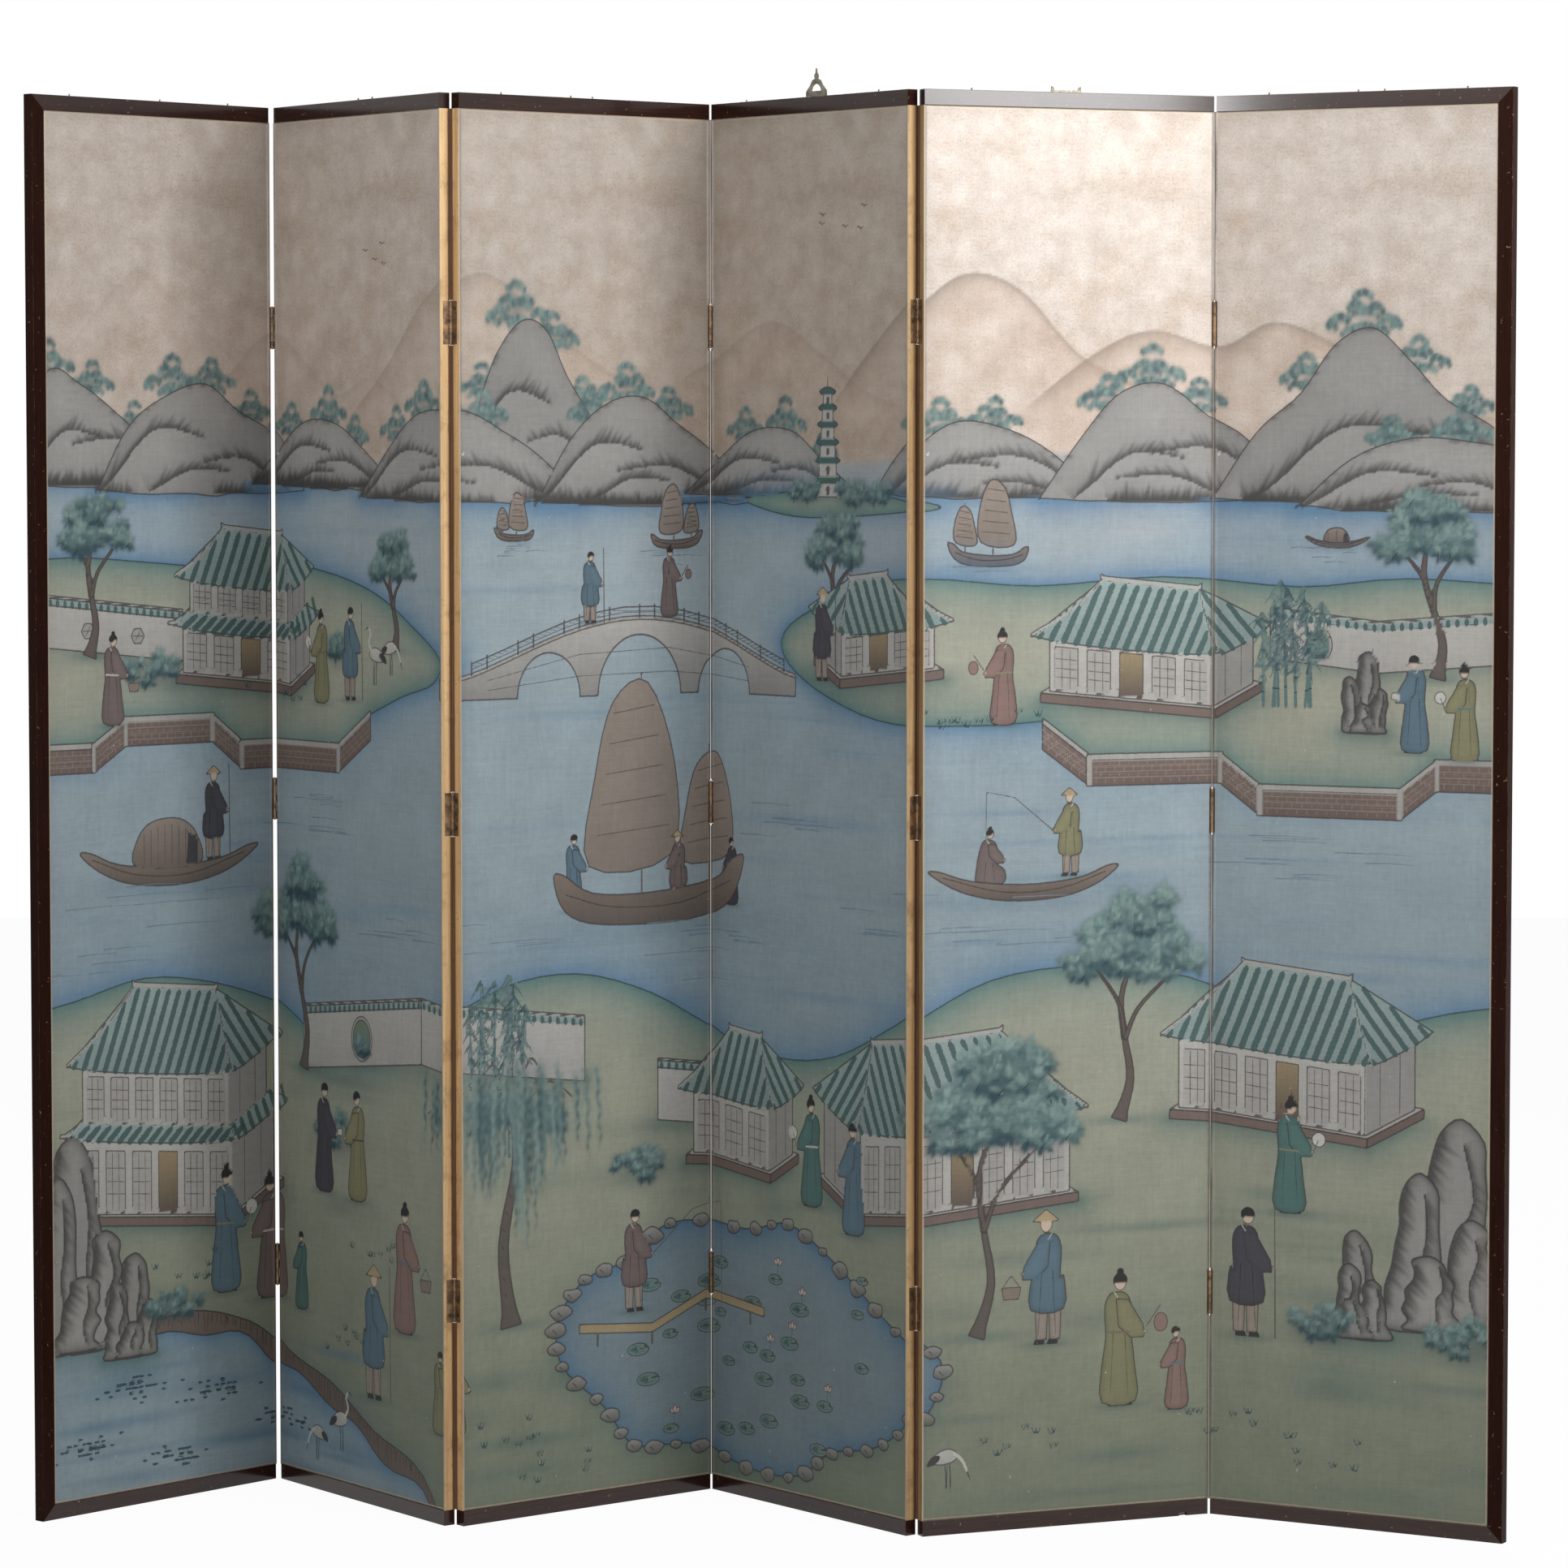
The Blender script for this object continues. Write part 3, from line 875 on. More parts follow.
def crane(u0, v0, tall, flip=1, feeding=False):
    # A standing crane: a pale body, dark tail, long neck and thin legs
    at = placer(u0, v0, tall, flip)
    for x in (-0.03, 0.05):
        line(at(x, 0, x, 0.22, x - 0.02, 0.42), 0.8, shade["ink"], 0.7, layer=1)
    body = at(-0.3, 0.42, -0.12, 0.38, 0.1, 0.42, 0.18, 0.52, 0.05, 0.62, -0.15, 0.58)
    shape(rounded(body, 4), shade["white"], 0.7, down=shade["white"] * 0.8)
    shape(rounded(at(-0.36, 0.36, -0.18, 0.42, -0.14, 0.52, -0.28, 0.5), 3), shade["hair"] * 2, 0.5)
    if feeding:
        neck, beak = at(0.12, 0.55, 0.26, 0.42, 0.34, 0.24), at(0.34, 0.24, 0.4, 0.1)
    else:
        neck, beak = at(0.1, 0.55, 0.2, 0.7, 0.14, 0.85, 0.2, 0.96), at(0.2, 0.96, 0.33, 0.9)
    line(rounded(neck, 4, False), 2.3, shade["white"], 1.6)
    line(beak, 1.1, shade["ink"], 0.4, layer=1)


def lotus(u0, v0, count, wideU, wideV, seed):
    # Floating lotus: flat leaves with veins, and a few pink flowers on stems
    rng = np.random.default_rng(seed)
    spots = [(u0, v0)]
    tries = 0
    while len(spots) < count and tries < count * 30:
        tries += 1
        p = (u0 + rng.uniform(-1, 1) * wideU, v0 + rng.uniform(-1, 1) * wideV)
        if all(np.hypot(p[0] - q[0], 2 * (p[1] - q[1])) > 38 for q in spots):
            spots.append(p)
    for i, (x, y) in enumerate(sorted(spots, key=lambda q: -q[1])):
        r = rng.uniform(12, 21)
        leaf = np.vstack([[(x, y)], arc((x, y), r, r * 0.46, np.linspace(0.5, 2 * np.pi + 0.2, 15))])
        shape(leaf, shade["lotus"] * rng.uniform(0.85, 1.25), 0.7, edge=shade["leafPale"], edgeReach=2.5)
        for end in arc((x, y), 0.8 * r, 0.37 * r, (2.0, 3.2, 4.4)):
            line([(x, y), end], 0.5, shade["leafDark"] * 0.6, 0.2)
        if i % 5 == 2:
            line([(x + 4, y), (x + 6, y + 20)], 0.8, shade["leafMid"], layer=1)
            for a in (-0.9, 0.9, 0.0):
                c, d, n = np.array([(x + 6, y + 20), (np.sin(a), np.cos(a)), (np.cos(a), -np.sin(a))])
                petal = rounded([c, c + d * 5 + n * 3.4, c + d * 11, c + d * 5 - n * 3.4], 3)
                shape(petal, shade["bloom"], 0.5, down=shade["white"])


def grassTufts(u0, v0, wideU, wideV, count, seed):
    rng = np.random.default_rng(seed)
    for i in range(count):
        p = np.array([u0 + rng.uniform(-1, 1) * wideU, v0 + rng.uniform(-1, 1) * wideV])
        for a in (-0.5, 0.0, 0.45):
            line([p + (a * 5, 0), p + (a * 14, 9)], 0.9, shade["leafDark"], 0.2)


def birds(u0, v0, count, seed):
    rng = np.random.default_rng(seed)
    for i in range(count):
        p = np.array([u0 + rng.uniform(-60, 60), v0 + rng.uniform(-30, 30)])
        line([p + (-7, 3), p + (-3, 4.5), p, p + (3, 4), p + (7, 2.5)], 0.9, shade["ink"] * 1.4, 0.4)


def backdrop():
    # Sky of silver leaf above, water below, darker towards the floor; both as smooth washes
    u, v = uGrid[None, :], vGrid[:, None]
    skyFade, waterFade, shore = (scrollLook[k] for k in ("skyFade", "waterFade", "shore"))
    low = np.clip((scrollLook["skyLow"] + skyFade - v) / skyFade, 0, 1) + 0 * u
    sky = mixIn(shade["leafMetal"], shade["leafLow"], low)
    deep = np.clip((shore - 125 - v) / waterFade, 0, 1) + 0 * u
    water = mixIn(shade["water"], shade["waterLow"], deep)
    swell = 0.5 + 0.5 * np.sin(v / 37 + 1.3 * np.sin(u / 210) + 0.6 * np.sin(u / 83 + v / 51))
    water = mixIn(water, shade["waterDeep"], 0.12 * swell)
    wet = np.clip((shore + 6 * np.sin(u / 130) - v) / 12, 0, 1) + 0 * u
    scroll["wash"][:] = sky + (water - sky) * wet[..., None]
    scroll["bare"][:] = 1 - wet
    # the leaf has tarnished more on some panels
    dulled = np.array(scrollLook["dulled"])[np.minimum(u // panelWide, panelCount - 1).astype(int)]
    tint(slice(None), slice(None), dulled * (1 - wet), scrollLook["tarnish"], 0.7)
    # level blue streaks of a broad brush
    rng = np.random.default_rng(scrollLook["seed"])
    for i in range(90):
        place = rng.uniform((0, 480, 40, 3), (scrollWide, 1290, 170, 9))
        softSpot(*place, shade["bank"], rng.uniform(0.08, 0.3))


def shoreWash(points, reach=20, strength=0.9):
    # Deeper blue in the water along a shore: fades with distance outside the outline
    rows, cols, u, v = part(points, reach * 2.5)
    depth = insideDepth(points, u, v)
    tint(rows, cols, strength * np.exp(-np.maximum(-depth, 0) / reach) * (depth < 4), shade["bank"])


def distance():
    farRange(pairs(20, 1470, 110, 1560, 170, 1610, 230, 1585, 330, 1500, 420, 1450), 5, 0.35)
    farRange(pairs(250, 1420, 330, 1480, 400, 1530, 470, 1500, 560, 1450, 640, 1470, 720, 1440, 800, 1400),
        1, 0.5)
    farRange(pairs(560, 1400, 680, 1490, 760, 1560, 850, 1600, 930, 1560, 1010, 1500, 1120, 1450, 1220,
        1400), 2, 0.7)
    farRange(pairs(1120, 1440, 1240, 1500, 1340, 1540, 1440, 1500, 1540, 1450, 1640, 1430), 6, 0.6)
    farRange(pairs(1440, 1420, 1540, 1500, 1620, 1560, 1690, 1600, 1760, 1570, 1840, 1500, 1930, 1460, 2010,
        1430), 3, 1.0)
    farRange(pairs(1750, 1420, 1860, 1500, 1950, 1530, 2040, 1510, 2120, 1540, 2210, 1500, 2330, 1430, 2440,
        1410), 4, 1.0)
    birds(1500, 1680, 5, 3)
    birds(620, 1640, 4, 4)


def hills():
    def ridge(points, seed, foot, dark=1.0, trees=(), mounds=3):
        for k, (x, high) in enumerate(trees):
            y = np.interp(x, [p[0] for p in points], [p[1] for p in points])
            pineOnHill(x, y - 6, high, seed * 10 + k)
        hill(points, seed, foot, dark, mounds)
    ridge(pairs(-60, 1440, 20, 1472, 80, 1462, 150, 1420, 210, 1372, 250, 1345), 21, 1338, 1.0,
        [(20, 66), (96, 56), (170, 50)], 2)
    ridge(pairs(110, 1350, 160, 1408, 220, 1450, 290, 1462, 350, 1430, 420, 1392, 470, 1352), 22, 1326,
        0.95, [(232, 70), (300, 60), (372, 52)], 3)
    ridge(pairs(380, 1348, 430, 1392, 490, 1420, 560, 1410, 620, 1380, 700, 1345), 23, 1334, 1.03,
        [(446, 58), (540, 66), (604, 50)], 3)
    ridge(pairs(800, 1352, 838, 1420, 872, 1500, 912, 1545, 950, 1532, 985, 1470, 1030, 1410, 1080, 1362),
        24, 1330, 0.9, pairs(905, 74, 962, 60, 850, 54, 1010, 52), 2)
    ridge(pairs(620, 1345, 690, 1385, 750, 1420, 820, 1428, 880, 1398, 940, 1370, 1000, 1338), 25, 1318,
        1.02, [(706, 54), (770, 64), (850, 56)], 3)
    ridge(pairs(940, 1340, 990, 1392, 1050, 1440, 1110, 1446, 1160, 1412, 1220, 1376, 1290, 1342), 26, 1312,
        0.96, [(1020, 54), (1082, 66), (1150, 58)], 3)
    ridge(pairs(1180, 1345, 1240, 1372, 1310, 1404, 1390, 1400, 1450, 1368, 1530, 1342), 27, 1322, 1.04,
        [(1290, 54), (1376, 62), (1450, 46)], 3)
    ridge(pairs(1560, 1348, 1610, 1378, 1670, 1412, 1740, 1406, 1800, 1376, 1860, 1345), 28, 1324, 1.03,
        [(1650, 60), (1722, 52)], 3)
    ridge(pairs(1790, 1350, 1850, 1402, 1900, 1452, 1960, 1462, 2020, 1424, 2080, 1390, 2140, 1348), 29,
        1318, 0.94, [(1880, 60), (1942, 70), (2010, 56)], 3)
    ridge(pairs(2030, 1345, 2090, 1400, 2150, 1446, 2200, 1510, 2250, 1530, 2300, 1490, 2350, 1440, 2420,
        1400, 2500, 1370), 30, 1316, 0.9, pairs(2160, 58, 2238, 76, 2310, 60, 2380, 54), 3)
    ridge(pairs(2150, 1338, 2220, 1368, 2300, 1392, 2380, 1388, 2450, 1372, 2500, 1350), 31, 1306, 1.03,
        [(2276, 52), (2372, 60)], 3)


def farShore():
    # the lake's far bank with a tower, and distant boats
    bank = rounded(pairs(1290, 1312, 1360, 1322, 1460, 1328, 1560, 1322, 1650, 1306, 1560, 1296, 1400,
        1292), 5)
    shoreWash(bank, 16, 0.6)
    land(bank, shade["grass"] * 0.95)
    pagoda(1462, 1318, 40, 6, 21)
    bush(1415, 1318, 34, 41)
    bush(1512, 1316, 40, 42)
    clumps(1560, 1326, 24, 12, 8, 9, 43)
    junk(1770, 1232, 110, -1, 44)
    junk(1120, 1250, 84, 1, 45)
    junk(930, 1262, 62, -1, 46)
    sampan(2160, 1256, 84, 1, True, 47)


def leftIsland():
    natural = pairs(640, 1036, 720, 1062, 790, 1080, 806, 1112, 742, 1152, 660, 1190, 560, 1214, 430, 1228,
        330, 1222, 190, 1232, 60, 1240, -60, 1232)
    wharf = pairs(-60, 996, 96, 996, 150, 1028, 300, 1028, 352, 990, 560, 990, 640, 1036)
    shore = np.vstack([rounded(natural, 4, False), wharf[:-1]])
    shoreWash(shore, 20)
    land(shore, None)
    quay(wharf, 34)
    tree(700, 1120, 120, 52, 51, 11, -8)
    gardenWall([(-30, 1130), (250, 1102)], 56, [(0.42, "hex"), (0.72, "hex")])
    pavilion(250, 1075, 190, 80, 66, 54, 1, 2, True)
    tree(90, 1112, 170, 62, 53, 12, 10)
    bush(200, 1080, 60, 54)
    bush(560, 1110, 52, 55)
    figure(520, 1046, 124, shade["robeOlive"], -1, "bun", "fan", shade["robePlum"])
    figure(590, 1052, 126, shade["robeBlue"], 1, None, "staff")
    figure(128, 1022, 122, shade["robePlum"], 1, "bun", "basket", shade["white"])
    crane(690, 1088, 70, 1, True)
    crane(652, 1074, 78, -1)
    grassTufts(420, 1060, 60, 16, 8, 56)


def bridgeAndPoint():
    natural = pairs(1790, 1034, 1700, 1030, 1560, 1036, 1440, 1070, 1372, 1112, 1384, 1152, 1500, 1196,
        1620, 1216, 1780, 1206, 1960, 1216, 2150, 1204, 2300, 1216, 2500, 1206)
    wharf = pairs(1790, 1034, 1856, 986, 2040, 986, 2096, 946, 2290, 946, 2340, 984, 2500, 984)
    shore = np.vstack([rounded(natural, 4, False), wharf[:0:-1]])
    shoreWash(shore, 20)
    land(shore, None)
    quay(wharf, 36)
    bridge(806, 1086, 590, 74, 26, 3, 15)
    tree(1470, 1130, 130, 58, 61, 12, 12)
    pavilion(1640, 1092, 150, 70, 60, 50, -1, 1, True)
    pavilion(1800, 1060, 230, 90, 72, 60, 1, 1, True)
    gardenWall([(2110, 1112), (2260, 1096), (2460, 1112)], 54, [(0.45, "round")])
    bamboo(2140, 1050, 150, 7, 64)
    tree(2340, 1090, 190, 70, 65, 12, -14)
    gardenRock(2240, 1020, 60, 90, 66)
    figure(1450, 1082, 120, shade["robeDark"], 1, "cone", "staff")
    figure(1736, 1030, 124, shade["robeRose"], -1, "bun", "lantern", shade["robeOlive"])
    figure(2310, 996, 128, shade["robeBlue"], -1, None, "scroll")
    figure(2378, 986, 126, shade["robeOlive"], -1, "bun", "fan", shade["robeBlue"])
    figure(1020, 1154, 96, shade["robeBlue"], 1, None, "staff")
    figure(1150, 1160, 94, shade["robePlum"], 1, "bun", "lantern")
    grassTufts(1700, 1036, 90, 10, 10, 67)


def midWater():
    figure(300, 838, 124, shade["robeDark"], 1, "cone", "staff")
    sampan(80, 816, 290, 1, True, 71)
    junk(960, 762, 320, 1, 72, [
        (0.1, 104, "robeBlue", 1, None), (0.64, 98, "robePlum", -1, "cone"),
        (0.94, 92, "robeDark", -1, None)])
    figure(1830, 836, 112, shade["robeOlive"], -1, "cone", "rod")
    figure(1716, 826, 100, shade["robePlum"], 1, "bun", None, None, True)
    sampan(1890, 812, 250, -1, False, 73)
    for (x, y, w, s) in ((500, 900, 160, 1), (740, 760, 150, 2), (1400, 900, 160, 3),
            (1600, 780, 140, 4), (2200, 860, 170, 5), (90, 720, 120, 6), (1250, 740, 120, 7)):
        ripple(x, y, w, 10, 80 + s)


def nearLand():
    edge = pairs(-60, 650, 60, 668, 180, 690, 300, 676, 420, 640, 520, 600, 640, 596, 760, 640, 880, 690,
        1000, 700, 1120, 668, 1240, 610, 1360, 588, 1480, 600, 1600, 650, 1720, 706, 1860, 720, 2000, 700,
        2120, 652, 2240, 640, 2360, 668, 2500, 690, 2500, -60, -60, -60)
    shore = np.vstack([rounded(edge[:-2], 4, False), edge[-2:]])
    shoreWash(shore, 24, 0.8)
    land(shore, None, reach=30, low=shade["grassLow"])
    rng = np.random.default_rng(scrollLook["seed"] + 1)
    for i in range(70):
        place = rng.uniform((0, 30, 40, 5), (scrollWide, 560, 130, 15))
        softSpot(*place, shade["grassEdge"] * 0.62, rng.uniform(0.1, 0.4))
    # water in the left corner, below a bank of bare earth
    bankTop = pairs(-60, 262, 60, 270, 150, 236, 260, 244, 360, 218, 430, 176, 540, 146, 640, 98, 760, 56,
        840, -60)
    bay = np.vstack([rounded(bankTop, 5, False), [(-60, -60)]])
    groundShade(bay, 14, 0.5)
    shape(bay, shade["waterLow"] * 1.35, 1.0, down=shade["waterLow"] * 1.5)
    for i in range(26):
        place = rng.uniform((0, 10, 40, 4), (620, 220, 120, 10))
        softSpot(*place, shade["bank"] * 0.85, rng.uniform(0.2, 0.5))
    earthBank(bankTop, 30, 141)
    for k, (x, y) in enumerate(((150, 160), (300, 140), (90, 90), (430, 90), (230, 60))):
        duckweed(x, y, 60, 16, 34, 150 + k)
    # a pond with stones along its edge
    pond = rounded(pairs(1010, 300, 1090, 322, 1150, 362, 1290, 356, 1380, 372, 1470, 336, 1560, 282, 1650,
        224, 1628, 150, 1560, 104, 1470, 84, 1400, 44, 1290, 40, 1180, 66, 1090, 74, 1040, 130, 972, 190,
        966, 250), 5)
    groundShade(pond, 16, 0.6)
    shape(pond, shade["waterLow"] * 0.98, 1.0, edge=shade["bank"] * 0.8, edgeReach=20)
    stones(pond[::2] + (0, -1), 10, 61)


def nearBuildings():
    gardenWall([(470, 560), (760, 590), (1010, 560)], 74, [(0.5, "round")], 91)
    tree(470, 560, 220, 84, 92, 13, -10)
    pavilion(60, 380, 270, 120, 104, 84, 1, 2, True)
    pavilion(1830, 420, 300, 120, 108, 88, -1, 1, True)
    tree(1900, 520, 230, 96, 95, 13, 20)
    pavilion(1985, 520, 260, 110, 96, 80, 1, 1, True)
    gardenWall([(1130, 500), (1330, 474)], 70, [(0.5, "hex")], 97)
    pavilion(1190, 440, 150, 80, 88, 70, 1, 1, False)
    bamboo(880, 470, 220, 9, 99)


def nearGround():
    willow(890, 250, 300, 120, 101, 95)
    tree(1700, 250, 300, 118, 102, 14, 26)
    gardenRock(62, 214, 150, 270, 103)
    gardenRock(150, 196, 90, 120, 104)
    gardenRock(2345, 262, 150, 250, 105)
    gardenRock(2240, 246, 84, 120, 106)
    bush(2180, 250, 60, 107)
    bush(2390, 240, 70, 108)
    bush(226, 246, 56, 109)
    bush(560, 470, 70, 110)
    bush(1100, 430, 60, 111)
    lotus(1300, 200, 30, 240, 120, 112)
    # a low plank bridge over the pond's left end
    beam(pairs(1000, 236, 1120, 226, 1210, 262, 1330, 250), 12, shade["straw"] * 0.9)
    for x, y in ((1030, 232), (1120, 226), (1210, 262), (1300, 252)):
        line([(x, y - 6), (x, y - 22)], 1.8, shade["timberDark"], layer=1)
    people = [
        (520, 400, 150, "robeDark", 1, None, "scroll", None),
        (604, 396, 150, "robeOlive", -1, None, None, "robeDark"),
        (1430, 400, 146, "robeTeal", -1, "bun", "fan", "white"),
        (1516, 372, 150, "robeBlue", -1, None, None, None),
        (2140, 400, 152, "robeTeal", 1, "bun", "fan", "robeOlive"),
        (1090, 250, 140, "robePlum", 1, None, "rod", None),
        (318, 262, 172, "robeBlue", 1, "bun", "fan", "robeOlive"),
        (400, 246, 170, "robePlum", -1, "bun", None, "white"),
        (462, 236, 108, "robeTeal", -1, None, None, None),
        (716, 236, 172, "robeRose", 1, "bun", "basket", "robeBlue"),
        (640, 140, 176, "robeBlue", 1, "cone", "staff", None),
        (800, 116, 112, "robeOlive", 1, None, None, "robePlum"),
        (1800, 236, 172, "robeBlue", -1, "cone", "basket", None),
        (1900, 150, 178, "robeOlive", 1, "bun", "lantern", "robePlum"),
        (1984, 140, 112, "robeRose", -1, None, None, "robeBlue"),
        (2080, 236, 174, "robeDark", 1, None, "staff", None)]
    for x, y, tall, robe, flip, hat, holds, sash in people:
        figure(x, y, tall, shade[robe], flip, hat, holds, None if sash is None else shade[sash])
    crane(560, 60, 84, 1)
    crane(500, 40, 74, -1, True)
    crane(1660, 60, 80, 1, True)
    for x, y, s in ((560, 210, 121), (250, 300, 122), (880, 110, 123), (1750, 110, 124),
            (2050, 120, 125), (2200, 90, 126), (960, 60, 127), (640, 330, 128)):
        grassTufts(x, y, 60, 20, 7, s)


def paintScroll():
    backdrop()
    distance()
    hills()
    farShore()
    leftIsland()
    bridgeAndPoint()
    midWater()
    nearLand()
    nearBuildings()
    nearGround()
    u, v = uGrid[None, :], vGrid[:, None]
    tint(slice(None), slice(None), 0.22 * np.clip((420 - v) / 420, 0, 1) + 0 * u, shade["grassLow"] * 0.45)


paintScroll()
print("scroll painted:", gridShape)

# Each panel's face stands where its board stands in the model; turns are those of the standing screen
faceLook = {
    "turns": (48.0, -53.5, 39.5, -51.5, 22.5, -29.0), "thick": 2.0, "sway": 0.18, "hem": 2.25,
    "proud": 0.12, "paper": 0.1, "past": 0.62, "flap": 1.25, "lift": 0.18, "notch": 29.5,
    "hinges": (290.0, 914.5, 1539.0)}


def atPanel(n, local):
    # Points in a panel's own axes, in mm, as places in the standing screen: turned about the middle of
    # the panel's board, which stands where the model has it
    low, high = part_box("painting_%d" % n)
    boardEnds = (barWide if n == 1 else stripLip) + panelWide - (barWide if n == panelCount else stripLip)
    centre = np.array([boardEnds / 2, faceIn + faceLook["thick"] / 2, panelHigh / 2])
    a = math.radians(faceLook["turns"][n - 1])
    turn = np.array([[math.cos(a), -math.sin(a), 0], [math.sin(a), math.cos(a), 0], [0, 0, 1]])
    return (local - centre) @ turn.T / 1000 + np.array((low + high) / 2)


def addPiece(name, points, faces):
    mesh = bpy.data.meshes.new(name)
    mesh.from_pydata(points.tolist(), [], faces)
    piece = bpy.data.objects.new(name, mesh)
    bpy.context.scene.collection.objects.link(piece)
    return piece, mesh


def backHem(n):
    # The paper of the back turned over the strips: a thin bent profile, swept up between the hinges
    # that are let into the back. At a fold that points forward one side's paper laps over the gap
    points, faces = [], []
    deep, paper = panelDeep - faceIn, faceLook["paper"]
    for hinged, forward, mirror in ((n > 1, n % 2 == 1, False), (n < panelCount, n % 2 == 0, True)):
        if not hinged:
            continue
        out, lift = (0.0 if forward else 0.5), 0.0
        if forward and mirror:
            out, lift = -faceLook["flap"], faceLook["lift"]
        profile = np.array([(out, panelDeep + 0.02 + lift), (2.15, panelDeep + 0.02), (2.15, deep + 0.02),
            (3.0, deep + 0.02), (2.25, panelDeep + 0.02 + paper), (out, panelDeep + 0.02 + lift + paper)])
        if mirror:
            profile = (profile * (-1, 1) + (panelWide, 0))[::-1]
        hinges = faceLook["hinges"] if forward else ()
        cuts = [h + side * (faceLook["notch"] - 0.8) for h in hinges for side in (-1, 1)]
        levels = [barWide] + cuts + [panelHigh - barWide]
        for bottom, top in zip(levels[::2], levels[1::2]):
            first, count = len(points) * len(profile), len(profile)
            points += [np.column_stack([profile, np.full(count, z)]) for z in (bottom, top)]
            ring = np.arange(count)
            faces += (first + np.stack([ring, np.roll(ring, -1), np.roll(ring, -1) + count, ring + count],
                -1)).tolist()
            faces += [(first + ring[::-1]).tolist(), (first + count + ring).tolist()]
    return addPiece("back_hem_%d" % n, atPanel(n, np.concatenate(points)), faces)[0]


def faceSheet(n):
    # A thin closed board with its paper turned over the strips of the hinged edges. Its front is the
    # grid of the scroll: along the panel by u, up by v, and out by a slight sway, a sum of two long
    # waves that is nothing at the borders. Over a strip it steps forward, except beside a hinge
    cols = np.concatenate([[0], np.cumsum([len(c) for c in columnSets])])
    span = slice(cols[n - 1], cols[n])
    x, z = np.meshgrid(uGrid[span] - (n - 1) * panelWide, vGrid)
    rise, along = (z - z.min()) / np.ptp(z), (x - x.min()) / np.ptp(x)
    waves = np.sin(9 * rise + n) + 0.6 * np.sin(23 * rise + 5 * along + 2 * n)
    y = faceIn + faceLook["sway"] * np.sin(np.pi * along) * np.sin(np.pi * rise) * waves
    atHinge = (np.abs(z[..., None] - faceLook["hinges"]) < faceLook["notch"]).any(-1)
    y[(x < faceLook["hem"]) | (x > panelWide - faceLook["hem"])] = -faceLook["proud"]
    # distances to the sides: fold to one that closes face to face, border to the others and the bars
    toSides = [x - x.min(), x.max() - x]
    fold = toSides[n % 2].clip(0, 30)
    border = np.minimum(toSides[1 - n % 2], np.minimum(z - z.min(), z.max() - z)).clip(0, 30)
    # at a fold that closes the faces together one side's paper reaches over most of the gap
    if n in (4, 6):
        x[:, 0], y[:, 0] = -faceLook["past"], -faceLook["proud"] - faceLook["lift"]
        cut = atHinge & (x < faceLook["hem"])
        x, y = np.where(cut, 2.75 + x * 0.02, x), np.where(cut, faceIn, y)
    if n in (3, 5):
        cut = atHinge & (x > panelWide - faceLook["hem"])
        x, y = np.where(cut, panelWide - 2.75 - (panelWide - x) * 0.02, x), np.where(cut, faceIn, y)
    rows, wide = x.shape
    ids = np.arange(rows * wide).reshape(rows, wide)
    quads = np.stack([ids[:-1, :-1], ids[:-1, 1:], ids[1:, 1:], ids[1:, :-1]], -1).reshape(-1, 4)
    ring = np.concatenate([ids[0], ids[1:, -1], ids[-1, -2::-1], ids[-2:0:-1, 0]])
    # three rings close it: the paper's thickness, the way back under the paper, and the board's back
    rx, ry, rz = x.ravel()[ring], y.ravel()[ring] + faceLook["paper"], z.ravel()[ring]
    under = np.where(rx < 2.2, 2.15 + rx * 0.01, np.where(rx > panelWide - 2.2,
        panelWide - 2.15 - (panelWide - rx) * 0.01, rx))
    inset = np.clip(rz, z.min() + 0.02, z.max() - 0.02)
    flat = np.full(len(ring), faceIn + faceLook["thick"])
    local = np.concatenate([np.stack([x, y, z], -1).reshape(-1, 3), np.stack([rx, ry, rz], -1),
        np.stack([under, ry, inset], -1), np.stack([under, flat, inset], -1)])
    loopsOf = [ring] + [rows * wide + len(ring) * k + np.arange(len(ring)) for k in range(3)]
    sides = np.concatenate([np.stack([a, b, np.roll(b, -1), np.roll(a, -1)], -1)
        for a, b in zip(loopsOf, loopsOf[1:])])
    piece, mesh = addPiece("painted_face_%d" % n, atPanel(n, local),
        quads.tolist() + sides.tolist() + [loopsOf[3][::-1].tolist()])

    def keep(name, values):  # one colour attribute with four numbers a point
        values = values.reshape(rows * wide, 4)
        full = np.concatenate([values] + [values[ring]] * 3).astype(np.float32)
        mesh.attributes.new(name, "FLOAT_COLOR", "POINT").data.foreach_set("color", full.ravel())
    keep("wash", np.dstack([scroll["wash"][:, span], scroll["bare"][:, span]]))
    for k in range(layers):
        keep("fill%d" % k, np.dstack([scroll["fill"][k][:, span], scroll["depth"][k][:, span]]))
    keep("rims", np.moveaxis(scroll["rim"][:, :, span], 0, -1))
    for k, spare in enumerate((border, fold)):
        phase = np.pi * scroll["side"][k][:, span] / scrollLook["lineReach"]
        half = np.maximum(scroll["half"][k][:, span], -3)
        keep("line%d" % k, np.dstack([np.cos(phase), np.sin(phase), half, spare]))
        keep("hue%d" % k, np.dstack([scroll["hue"][k][:, span], np.ones_like(half)]))
    corner = np.zeros(len(mesh.loops), np.int32)
    mesh.loops.foreach_get("vertex_index", corner)
    place = np.stack([local[:, 0], local[:, 2]], -1)[corner] / 1000
    mesh.uv_layers.new(name="sheet").data.foreach_set("uv", place.ravel().astype(np.float32))
